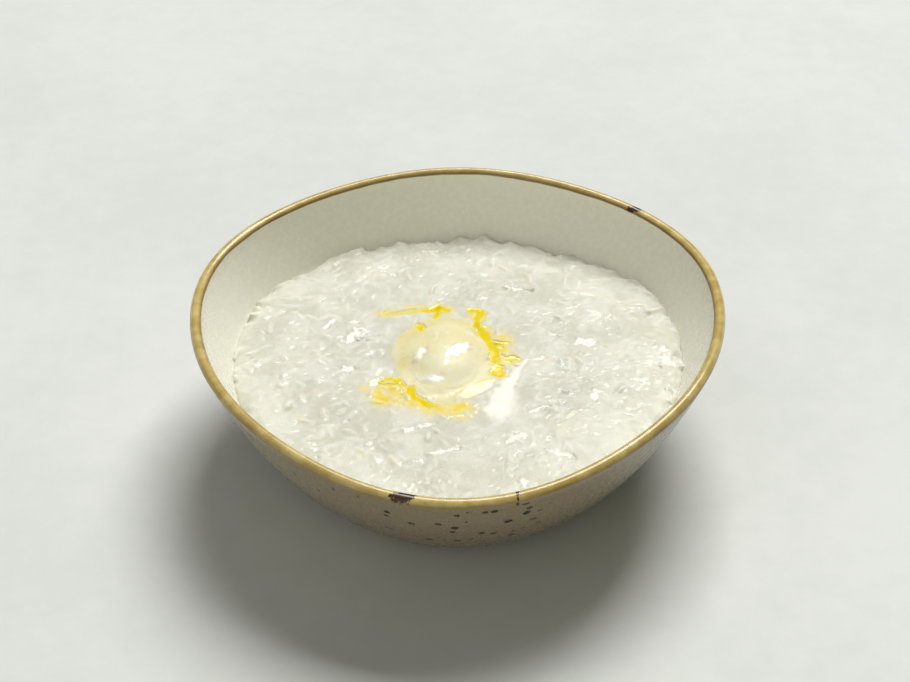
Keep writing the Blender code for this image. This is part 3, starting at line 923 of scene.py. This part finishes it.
seam = under_butter + 0.03 * slow_noise(1.8 * MM)
tucked = TUCK * smooth_step(seam, SEAM_END, SEAM_START)
tucked += 3.0 * MM * smooth_step(seam, SEAM_START, 0.74)
gel_map = smooth_max(gel_map, np.maximum(fat_map - tucked, base_map - 4 * MM), 0.4 * MM)
stretch_patch(gel_map, blur(gel_map, 1.5 * MM), *BESIDE_BUTTER, rise=0.1, fray=0.3)
relief = gel_map - blur(gel_map, 1.6 * MM)
back_depth = 0.12 + 0.6 * smooth_step(map_x, -15 * MM, -8 * MM)
for route, depth in zip(clear_channels, (0.9, 0.7, back_depth, 0.4)):
    from_middle = np.minimum(route + shore, 3.0)
    rise = depth * (from_middle**2 - 1) + 3.0 * np.maximum(from_middle - 1.6, 0)
    groove = POOL_LEVEL + rise * MM + 0.9 * relief
    gel_map = -smooth_max(-gel_map, -groove, 0.25 * MM)
print("gel from", round(gel_map.min() / MM, 1), "to", round(gel_map.max() / MM, 1), "mm")

# %% [markdown]
# ## The gel's mesh
# A plane grid is drawn into a disc, which keeps its squares about equal all over, where a polar
# grid would crowd at the middle. The disc is then stretched to the wall, a little way into it so
# no gap can show, and takes its heights from the map. Its border is extruded down the wall, ring
# by ring, and closed just above the floor of the bowl.

# %% Draw a grid into the disc
ACROSS = 293
TINY = 1e-9
deselect_all()
bpy.ops.mesh.primitive_grid_add(x_subdivisions=ACROSS - 1, y_subdivisions=ACROSS - 1, size=2)
gel = bpy.context.object
gel.name = "porridge_gel"
flat = points_of(gel)
wide, tall = flat[:, 0], flat[:, 1]
sideways = np.abs(wide) > np.abs(tall)
reach = np.where(sideways, wide, tall)
safe_reach = np.where(np.abs(reach) < TINY, TINY, reach)
turn = np.where(sideways, pi / 4 * tall / safe_reach, pi / 2 - pi / 4 * wide / safe_reach)
disc_x, disc_y = reach * np.cos(turn), reach * np.sin(turn)
print("grid of", len(flat), "points")

# %% Stretch it to the wall and lift it to the map
INTO_WALL = 0.25 * MM
round_angles = np.linspace(-pi, pi, 1441)
edge = wall_distance(round_angles, EDGE_LEVEL)
for _ in range(5):
    level = read_map(gel_map, edge * np.cos(round_angles), edge * np.sin(round_angles))
    edge = wall_distance(round_angles, level - rim_wave(round_angles, level)) + INTO_WALL
angle = np.arctan2(disc_y, disc_x)
away = np.hypot(disc_x, disc_y) * np.interp(angle, round_angles, edge)
x, y = away * np.cos(angle), away * np.sin(angle)
move_points(gel, np.stack([x, y + AXIS_Y, read_map(gel_map, x, y)], axis=1))
print("the porridge meets the wall", round(edge.mean() / MM, 1), "mm from the axis")

# %% Extrude the border down the wall and close it
ring_heights = [29.0 * MM, 23.5 * MM, 15.0 * MM, 8.0 * MM]
edit_mode("EDGE", "DESELECT")
bpy.ops.mesh.select_non_manifold()
for above, below in zip([EDGE_LEVEL, *ring_heights], ring_heights):
    bpy.ops.mesh.extrude_edges_move(TRANSFORM_OT_translate={"value": (0, 0, below - above)})
bpy.ops.mesh.edge_face_add()
turn_faces_out()
table = points_of(gel)
side = table[len(flat):]
height = np.repeat(ring_heights, len(side) // len(ring_heights))
angle = np.arctan2(side[:, 1] - AXIS_Y, side[:, 0])
away = wall_distance(angle, height) + INTO_WALL
side[:, 0] = away * np.cos(angle)
side[:, 1] = away * np.sin(angle) + AXIS_Y
side[:, 2] = height + rim_wave(angle, height)
move_points(gel, table)
gel.data.shade_smooth()
print("gel:", count_triangles(gel), "triangles")

# %% [markdown]
# Melted butter soaks into the porridge round the channels and in patches of its own, and stains it
# yellow. Each patch is a place, two half sizes and a strength. The foot of the lump is stained too.

# %% Where the butter has soaked in
CHANNEL_STAINS = [(1.1, 0.55), (1.9, 0.75), (1.5, 0.55), (1.0, 0.6)]
FOOT_STAIN = 0.42
FOOT_STAIN_REACH = 4.5 * MM
stains = [
    (-24.0, -17.6, 6.5, 7.5, 1.2), (-31.5, -14.5, 4.0, 2.2, 0.60), (-3.0, -26.5, 11.0, 4.4, 0.9),
    (2.0, -31.0, 3.6, 2.4, 0.55), (16.6, 9.5, 3.4, 8.0, 0.78), (18.6, 0.6, 3.2, 5.0, 0.72),
    (-24.5, 28.0, 6.0, 2.8, 0.62), (-15.0, 31.8, 6.0, 2.2, 0.55), (-14.0, 19.6, 2.2, 2.6, 0.85),
    (-17.4, 14.5, 2.4, 4.4, 0.50), (-6.5, 30.0, 4.2, 4.4, 0.75), (6.5, 26.0, 4.0, 4.0, 0.40),
    (-33.0, -49.0, 4.0, 3.0, 0.22), (36.0, -38.0, 4.5, 3.0, 0.26), (40.0, -30.0, 3.0, 2.0, 0.22),
]
soak = np.zeros(map_x.shape)
for route, (width, strength) in zip(clear_channels, CHANNEL_STAINS):
    from_shore = np.maximum(route + shore - 0.8, 0)
    soak = np.maximum(soak, strength * np.exp(-((from_shore / width) ** 2)))
for *place_and_size, strength in stains:
    soak = np.maximum(soak, strength * bell(*place_and_size))
from_foot = np.maximum(beyond_butter - foot_reach * 0.6, 0) / FOOT_STAIN_REACH
soak = np.maximum(soak, FOOT_STAIN * np.exp(-(from_foot**2)))
stained = float((soak[from_edge > 0] > 0.2).mean())
print("stained:", round(stained * 100), "per cent of the porridge")

# %% [markdown]
# The material must know seven things that only the maps know: how thinly the gel covers a grain,
# the tone of that grain, how much butter has soaked in, how wet the skin is, where the soft fat and
# the creamy film lie, and how deep light may go. The last is small at the wall, the seam and the
# pools, where another piece is so near that scattered light would leave a dark line. Each number is
# read from its map and kept at every point.

# %% Numbers for the gel's material
LIGHT_DEPTH = 4.0 * MM
LEAST_SHARE = 0.015
THIN_SKIN = 0.9 * MM
SEAM_WIDTH = 16 * MM


def light_share(distance):
    """How deep light may go, as a share of LIGHT_DEPTH, at this distance from another piece."""
    return np.clip(0.4 * distance / LIGHT_DEPTH, LEAST_SHARE, 1)


thin_cover = np.clip(1 - (gel_map - grain_map) / THIN_SKIN, 0, 1)
fat_cover = np.clip(1.5 - 1.1 * past_foot + 0.12 * slow_noise(1.5 * MM), 0, 1)
# Under the wet patches the fat's yellow is taken out, so those mirroring patches read white:
# painted highlight.
fat_cover *= 1 - 0.7 * np.clip(wet_map, 0, 1)
soak = soak * (1.08 - 0.25 * thin_cover) * (1 + 0.2 * slow_noise(0.9 * MM))
soak = np.clip(soak, 0, 1)
cream_cover = np.clip(1.5 - (cream_film + 0.5 * shore), 0, 1)
grain_tone = 0.5 + (tone_map - 0.5) * thin_cover
from_pool = 2 * MM * (np.minimum.reduce(clear_channels) + shore - 0.7)
from_seam = SEAM_WIDTH * np.abs(seam - SEAM)
from_others = np.minimum.reduce([from_edge, from_seam, from_pool])
x, y = points_of(gel)[:, 0], points_of(gel)[:, 1] - AXIS_Y
kept_maps = {
    "thin_cover": blur(thin_cover, 0.25 * MM),
    "grain_tone": blur(grain_tone, 0.3 * MM),
    "butter_soak": soak,
    "wetness": wet_map,
    "light_share": light_share(from_others),
    "fat_cover": blur(fat_cover, 0.5 * MM),
    "cream_cover": blur(cream_cover, 0.6 * MM),
}
for name, field in kept_maps.items():
    keep_number(gel, name, read_map(field, x, y))
print("share of the surface with a thin cover:", round(float((thin_cover > 0.5).mean()), 2))

# %% [markdown]
# ## The porridge's material
# Starch gel is milky: light goes in, wanders a few millimetres and comes out. That needs subsurface
# scattering, which also hides the shading of small bumps. What shows the bumps instead is the wet
# skin, which mirrors the light in small flecks. The same tree is used for the gel and for the
# grains, with other colours. Only the gel carries the soft fat and the creamy film. The fat's back
# is yellower and darker than its front: partly its own colour, and partly painted light, which
# brightens the front where the fat turns away from the light.

# %% Porridge material
GRAIN_DEPTH = 0.4 * MM
RICE_REACH = (1.0, 0.95, 0.75)
SOAKED_COLOURS = [(0.02, 0.75, linear(238, 220, 128)), (0.6, 1.0, linear(238, 212, 70))]


def make_milky(tree, shader, reach_of_colours, film):
    """Lets light in as deep as the piece's points say, under a wet film."""
    depth = times(tree, read_number(tree, "light_share"), LIGHT_DEPTH)
    plug_all(
        tree, shader, Subsurface_Weight=1.0, Subsurface_Scale=depth, Coat_Weight=film,
        Subsurface_Radius=reach_of_colours, Coat_Roughness=0.16, Coat_IOR=1.45,
    )


def add_gel_colours(tree, place, colour):
    """Lays the rosy grains, the soft fat and the creamy film over the colour of the porridge."""
    rosy = ramp(tree, read_number(tree, "grain_tone"), 0.6, 1.0, 0.0, 0.5)
    colour = mix_colours(tree, rosy, colour, linear(225, 216, 199))
    to_back = add_node(tree, "ShaderNodeSeparateXYZ", Vector=place).outputs["Y"]
    # The fat is painted paler and brighter towards the front: partly its own colour, partly painted
    # light where the fat turns away from the light.
    fat_front_and_painted_light = ramp(tree, to_back, 18 * MM, -12 * MM)
    fat = mix_colours(tree, fat_front_and_painted_light, linear(229, 219, 170), linear(246, 239, 204))
    colour = mix_colours(tree, read_number(tree, "fat_cover"), colour, fat)
    return mix_colours(tree, read_number(tree, "cream_cover"), colour, linear(249, 245, 234))


def make_rice_material(name, deep, pale, is_gel):
    material, tree, shader = start_material(name)
    place = object_place(tree)
    slow = noise(tree, place, 70.0, 3.0, 0.55)
    small = noise(tree, place, 520.0, 3.0, 0.6)
    fine = noise(tree, place, 2300.0, 2.0, 0.6)
    tone = plus(tree, ramp(tree, slow, 0.33, 0.67), ramp(tree, small, 0.35, 0.65, -0.12, 0.12))
    tone = plus(tree, tone, ramp(tree, fine, 0.35, 0.65, -0.22, 0.22))
    if is_gel:
        tone = plus(tree, tone, times(tree, read_number(tree, "thin_cover"), 0.7))
        tone = do_math(tree, "SUBTRACT", tone, 0.25)
    colour = mix_colours(tree, tone, deep, pale)
    soaked = read_number(tree, "butter_soak")
    for low, high, yellow in SOAKED_COLOURS:
        colour = mix_colours(tree, ramp(tree, soaked, low, high), colour, yellow)
    if is_gel:
        colour = add_gel_colours(tree, place, colour)
        film = ramp(tree, read_number(tree, "wetness"), 0.15, 1.0, 0.0, 0.5)
        make_milky(tree, shader, RICE_REACH, film)
    else:
        plug_all(tree, shader, Subsurface_Weight=0.1, Subsurface_Scale=GRAIN_DEPTH)
        plug_all(tree, shader, Subsurface_Radius=RICE_REACH)
    rough = ramp(tree, small, 0.3, 0.7, 0.38, 0.48, False)
    plug_all(tree, shader, Base_Color=colour, Roughness=rough, IOR=1.3)
    wrinkles = plus(tree, noise(tree, place, 1100.0, 3.0, 0.6, 0.6), times(tree, small, 1.3))
    add_bump(tree, shader, wrinkles, 0.15)
    return material


starch = make_rice_material("starch_gel", linear(211, 210, 194), linear(226, 225, 213), True)
gel.data.materials.append(starch)
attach(gel, "root")
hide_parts("porridge")
print("gel material ready")

# %% [markdown]
# ## The grains
# One grain is shaped from a small sphere with its poles at the ends: the ends are blunted and the
# middle is swollen a little, as cooked rice is. It has few faces, since it is copied dozens of
# times. The copies are laid at the same places as the stamps in the map, as one mesh, and only
# those are kept whose back comes through the gel, clear of the butter.

# %% Model one grain
deselect_all()
bpy.ops.mesh.primitive_uv_sphere_add(segments=8, ring_count=6, radius=0.5, rotation=(0, pi / 2, 0))
one_grain = bpy.context.object
one_grain.name = "one_grain"
apply_place(one_grain)
shape = points_of(one_grain)
blunt = np.sign(shape[:, 0]) * 0.5 * np.abs(2 * shape[:, 0]) ** 0.8
girth = 1 + 0.12 * np.cos(2 * pi * blunt)
shape = np.stack([blunt, shape[:, 1] * girth, shape[:, 2] * girth], axis=1)
grain_faces = [tuple(face.vertices) for face in one_grain.data.polygons]
bpy.data.objects.remove(one_grain)
print("one grain:", len(shape), "points,", len(grain_faces), "faces")

# %% Lay the grains
cover = read_map(gel_map, grain["x"], grain["y"]) - (grain["z"] + grain["height"] / 2)
from_butter = np.minimum.reduce([*clear_channels, cream_film, 2 * under_butter - 1.0])
clear = read_map(from_butter, grain["x"], grain["y"]) > 1.6
shown = np.flatnonzero((cover < -0.02 * MM) & clear)
rows, faces = [], []
for number, i in enumerate(shown):
    size = np.array([grain["length"][i], grain["width"][i], grain["height"][i]])
    local = shape * size * draw.uniform(0.94, 1.06)
    local[:, 1] += grain["bend"][i] * local[:, 0] ** 2
    turn = Matrix.Rotation(grain["turn"][i], 3, "Z")
    tilt = Matrix.Rotation(-atan2(grain["tilt"][i], 1), 3, "Y")
    local = local @ np.array(turn @ tilt).T
    lift = draw.uniform(-0.22, -0.08) * MM
    rows.append(local + [grain["x"][i], grain["y"][i] + AXIS_Y, grain["z"][i] + lift])
    faces.extend(tuple(p + number * len(shape) for p in face) for face in grain_faces)
mesh = bpy.data.meshes.new("rice_grains")
mesh.from_pydata(np.concatenate(rows), [], faces)
grains = bpy.data.objects.new("rice_grains", mesh)
bpy.context.scene.collection.objects.link(grains)
mesh.shade_smooth()
laid = points_of(grains)
keep_number(grains, "butter_soak", read_map(soak, laid[:, 0], laid[:, 1] - AXIS_Y) * 0.8)
rice = make_rice_material("cooked_rice", linear(218, 217, 201), linear(227, 226, 213), False)
grains.data.materials.append(rice)
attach(grains, "root")
print(len(shown), "grains show,", count_triangles(grains), "triangles")

# %% [markdown]
# ## The butter
# The lump has melted to a low mound with a broad soft top, longer from front to back than it is
# wide. A sphere has the closed skin that it needs, so one is pressed into shape: its lower half
# flat in the well, its upper half on the map of the fat, which the gel follows too. So the lump
# dips under the soaked gel without a step, as fat does that has melted into its surroundings.

# %% Shape the butter
deselect_all()
bpy.ops.mesh.primitive_uv_sphere_add(segments=128, ring_count=96, radius=1)
butter = bpy.context.object
butter.name = "butter_lump"
ball = points_of(butter)
angle = np.arctan2(ball[:, 1], ball[:, 0])
rise = np.clip(ball[:, 2], -1, 1)
flatness = np.sqrt(1 - rise**2)
outward = np.where(rise > 0, flatness**0.8, flatness**0.35)
x = BUTTER_X + outward * butter_edge(angle) * np.cos(angle)
y = BUTTER_Y + outward * butter_edge(angle) * np.sin(angle)
from_middle = read_map(seam, x, y)
skin_level = read_map(fat_map, x, y) - TUCK * smooth_step(from_middle, SEAM_START, SEAM_END)
share = smooth_step(outward, 1.0, 0.96) * (rise > 0)
z = BUTTER_BASE + share * (skin_level - BUTTER_BASE)
move_points(butter, np.stack([x, y + AXIS_Y, z], axis=1))
keep_number(butter, "wetness", read_map(wet_map, x, y))
keep_number(butter, "light_share", light_share(SEAM_WIDTH * np.abs(from_middle - SEAM)))
butter.data.shade_smooth()
print("butter", [round(v / MM, 1) for v in np.ptp(points_of(butter), axis=0)], "mm")

# %% [markdown]
# Fresh butter is a pale creamy yellow, and light goes some millimetres into it. Where it melts it
# turns clearer and yellower, which is at its foot. Its back is yellower and darker than its front:
# partly its own colour, and partly painted light, which brightens the front where the mound turns
# away from the light. Its skin is wet with its own fat, so it is glossier than cold butter, most of
# all in the smooth patches, which are also painted near white as a painted highlight.

# %% Butter material
fat, tree, shader = start_material("soft_butter")
place = object_place(tree)
spot = add_node(tree, "ShaderNodeSeparateXYZ", Vector=place)
cloudy = noise(tree, place, 110.0, 3.0, 0.5)
to_back = plus(tree, spot.outputs["Y"], swing(tree, cloudy, 4.0 * MM))
upward = plus(tree, spot.outputs["Z"], swing(tree, cloudy, 1.2 * MM))
# Towards the front the butter is painted paler and brighter: partly its own colour, partly painted
# light where the mound turns away from the light.
butter_front_and_painted_light = ramp(tree, to_back, 14 * MM, -8 * MM)
melt = times(tree, ramp(tree, upward, 37.8 * MM, 36.0 * MM), 0.25)
wet_and_painted_highlight = ramp(tree, read_number(tree, "wetness"), 0.15, 0.8, 0.0, 0.7)
colour = mix_colours(tree, butter_front_and_painted_light, linear(234, 225, 177), linear(244, 238, 208))
colour = mix_colours(tree, melt, colour, linear(241, 226, 150))
# The wet share glosses the skin, and it also paints the smooth patches near white: painted
# highlight.
colour = mix_colours(tree, wet_and_painted_highlight, colour, linear(248, 246, 234))
rough = ramp(tree, cloudy, 0.3, 0.7, 0.38, 0.46, False)
plug_all(tree, shader, Base_Color=colour, Roughness=rough, IOR=1.3)
make_milky(tree, shader, (1.0, 0.85, 0.45), wet_and_painted_highlight)
add_bump(tree, shader, noise(tree, place, 260.0, 3.0), 0.08)
butter.data.materials.append(fat)
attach(butter, "root")
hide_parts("butter")
print("butter material ready")

# %% [markdown]
# ## The melted butter
# A liquid finds its own level, so each pool is a level sheet, which climbs a hair at its shore. The
# ragged shore is simply where the gel rises out of it. A grid is laid over each channel, the part
# far outside the shore is deleted, and the rest is extruded downwards into a closed body.

# %% Lay the pools
POOL_THICKNESS = 0.9 * MM
POOL_STEP = 0.4
SHORE_RISE = 0.06 * MM
DEEP_POOL = 0.8 * MM


def make_pool(name, route, left, right, front, back):
    """A closed body of clear butter over a channel, inside these limits in mm."""
    deselect_all()
    across, deep = int((right - left) / POOL_STEP), int((back - front) / POOL_STEP)
    bpy.ops.mesh.primitive_grid_add(x_subdivisions=across, y_subdivisions=deep, size=1)
    pool = bpy.context.object
    pool.name = name
    table = points_of(pool)
    x = (left + (table[:, 0] + 0.5) * (right - left)) * MM
    y = (front + (table[:, 1] + 0.5) * (back - front)) * MM
    depth = POOL_LEVEL - read_map(gel_map, x, y)
    shore_rise = SHORE_RISE * np.exp(-np.abs(depth) / (0.25 * MM))
    move_points(pool, np.stack([x, y + AXIS_Y, POOL_LEVEL + shore_rise], axis=1))
    from_route = read_map(route + shore, x, y)
    inward = smooth_step(from_route, 1.15, 0.3)
    keep_number(pool, "depth", np.clip(depth / DEEP_POOL, 0, 1) * (0.3 + 0.7 * inward))
    outside = (from_route > 1.6) | (read_map(under_butter, x, y) < 0.93)
    edit_mode("VERT", "DESELECT")
    bpy.ops.object.mode_set(mode="OBJECT")
    pool.data.vertices.foreach_set("select", outside)
    bpy.ops.object.mode_set(mode="EDIT")
    bpy.ops.mesh.delete(type="VERT")
    bpy.ops.mesh.select_all(action="SELECT")
    bpy.ops.mesh.extrude_region_move(TRANSFORM_OT_translate={"value": (0, 0, -POOL_THICKNESS)})
    turn_faces_out()
    pool.data.shade_smooth()
    pool.data.set_sharp_from_angle(angle=radians(60))
    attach(pool, "root")
    print(name, count_triangles(pool), "triangles")
    return pool


pools = [
    make_pool("butter_pool_right", right_channel, 2, 20, -14, 25),
    make_pool("butter_pool_front", front_channel, -25, -1, -27, -7),
    make_pool("butter_pool_back", back_channel, -31, -3, 22, 34),
    make_pool("thin_butter_film", film_channel, -35, 25, -16, 33),
]
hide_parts("melted_butter_right")
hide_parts("melted_butter_front")
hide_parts("melted_butter_back")

# %% [markdown]
# Melted butter is clear, and its yellow grows with its depth, from straw at the shore to a strong
# egg yellow in the channel. The depth was kept at every point, so the colour follows it.

# %% Melted butter material
clear_fat, tree, shader = start_material("melted_butter")
place = object_place(tree)
streaks = noise(tree, place, 260.0, 3.0, 0.6, 0.4)
depth = plus(tree, read_number(tree, "depth"), swing(tree, streaks, 0.22))
shallow = ramp(tree, depth, 0.0, 0.30)
deep = ramp(tree, depth, 0.22, 0.6)
colour = mix_colours(tree, shallow, linear(240, 226, 150), linear(243, 219, 62))
colour = mix_colours(tree, deep, colour, linear(238, 210, 6))
rough = ramp(tree, streaks, 0.3, 0.7, 0.06, 0.16, False)
plug_all(tree, shader, Base_Color=colour, Roughness=rough, IOR=1.38)
add_bump(tree, shader, noise(tree, place, 180.0, 2.0), 0.15)
for pool in pools:
    pool.data.materials.append(clear_fat)
print("melted butter ready")

# %% [markdown]
# ## Floor, light and camera
# The floor is a plain pale sheet, with only a faint mottle so that it doesn't look like a screen.

# %% Floor
FLOOR_SIDE = 4.0
deselect_all()
bpy.ops.mesh.primitive_plane_add(size=FLOOR_SIDE, location=(0, 0, 0))
floor = bpy.context.object
floor.name = "pale_floor"
paint, tree, shader = start_material("pale_floor")
place = object_place(tree)
fine_mottle = times(tree, noise(tree, place, 90.0, 4.0, 0.7), 0.5)
mottle = ramp(tree, plus(tree, noise(tree, place, 9.0, 4.0, 0.6), fine_mottle), 0.5, 1.0)
colour = mix_colours(tree, mottle, linear(219, 222, 218), linear(227, 229, 226))
plug_all(tree, shader, Base_Color=colour, Roughness=0.7, Specular_IOR_Level=0.25)
floor.data.materials.append(paint)
print("floor ready")

# %% [markdown]
# One large soft light stands behind the bowl and a little to the right, about 55 degrees up, so the
# wet surfaces mirror it towards the camera and the shadow falls to the front left. It stands far
# off, which keeps the floor evenly lit, and it is wide, which softens the shadow's edge.

# %% The large soft light
LIGHT_AZIMUTH = radians(19.8)
LIGHT_ELEVATION = radians(54.6)
LIGHT_AWAY = 8.0
LIGHT_AIM = Vector((0, 0, 0.035))
level_away = cos(LIGHT_ELEVATION)
to_light = Vector(
    (sin(LIGHT_AZIMUTH) * level_away, cos(LIGHT_AZIMUTH) * level_away, sin(LIGHT_ELEVATION))
)
bpy.ops.object.light_add(type="AREA", location=LIGHT_AIM + to_light * LIGHT_AWAY)
light = bpy.context.object
light.name = "key_light"
light.rotation_euler = to_light.to_track_quat("Z", "Y").to_euler()
light.data.shape = "RECTANGLE"
light.data.size = 0.52 * LIGHT_AWAY
light.data.size_y = 0.51 * LIGHT_AWAY
light.data.energy = 690.0
light.data.color = (1, 1, 0.98)
print("light", LIGHT_AWAY, "m away")

# %% [markdown]
# The rest of the room is dark but for three soft glows: a white board at the front left, a warmer
# one in front, which lights the back of the bowl's inside, and the ceiling over the left side. So
# the shadow is filled from the left, and stays deepest under the bowl's right side.

# %% Soft glows of the room
DARK_ROOM = 0.004
WARMTH = 0.22
world = bpy.data.worlds.new("pale_surround")
world.use_nodes = True
bpy.context.scene.world = world
tree = world.node_tree
direction = tree.nodes.new("ShaderNodeTexCoord").outputs["Generated"]


def glow(tree, towards, start, strength):
    """A soft glow in one direction: nothing at start, and full where the two nearly agree."""
    agree = do_vector_math(tree, "DOT_PRODUCT", direction, Vector(towards).normalized())["Value"]
    return ramp(tree, agree, start, 0.97, 0.0, strength)


board = glow(tree, (-0.62, -0.72, 0.30), 0.6, 0.30)
front = glow(tree, (0.0, -0.90, 0.40), 0.7, 0.55)
ceiling = glow(tree, (-0.42, 0.0, 0.91), 0.65, 0.26)
bright = plus(tree, plus(tree, board, front), plus(tree, ceiling, DARK_ROOM))
blue = do_math(tree, "SUBTRACT", bright, times(tree, front, WARMTH))
sky = add_node(tree, "ShaderNodeCombineColor", Red=bright, Green=bright, Blue=blue)
plug_all(tree, tree.nodes["Background"], Color=sky.outputs["Color"], Strength=1.0)
bpy.context.scene.view_settings.view_transform = "Standard"
print("room ready")

# %% [markdown]
# The camera looks down at 37 degrees from the front, through a long lens, as in the photograph. It
# is turned by half a degree about its own line of sight, and shifted a little to frame the bowl.

# %% Camera
CAMERA_ELEVATION = radians(36.9)
CAMERA_ROLL = radians(-0.54)
CAMERA_AWAY = 0.74
PHOTO_WIDTH = 910
bpy.ops.object.camera_add()
camera = bpy.context.object
camera.name = "view"
camera.location = (
    0,
    AXIS_Y - CAMERA_AWAY * cos(CAMERA_ELEVATION),
    BOWL_HEIGHT + CAMERA_AWAY * sin(CAMERA_ELEVATION),
)
downward = Matrix.Rotation(pi / 2 - CAMERA_ELEVATION, 3, "X")
camera.rotation_euler = (downward @ Matrix.Rotation(CAMERA_ROLL, 3, "Z")).to_euler()
camera.data.sensor_width = 36
camera.data.lens = 84.5
camera.data.shift_x = -2.5 / PHOTO_WIDTH
camera.data.shift_y = -28.0 / PHOTO_WIDTH
bpy.context.scene.camera = camera
print("camera", round(CAMERA_AWAY * 1000), "mm from the rim's middle")
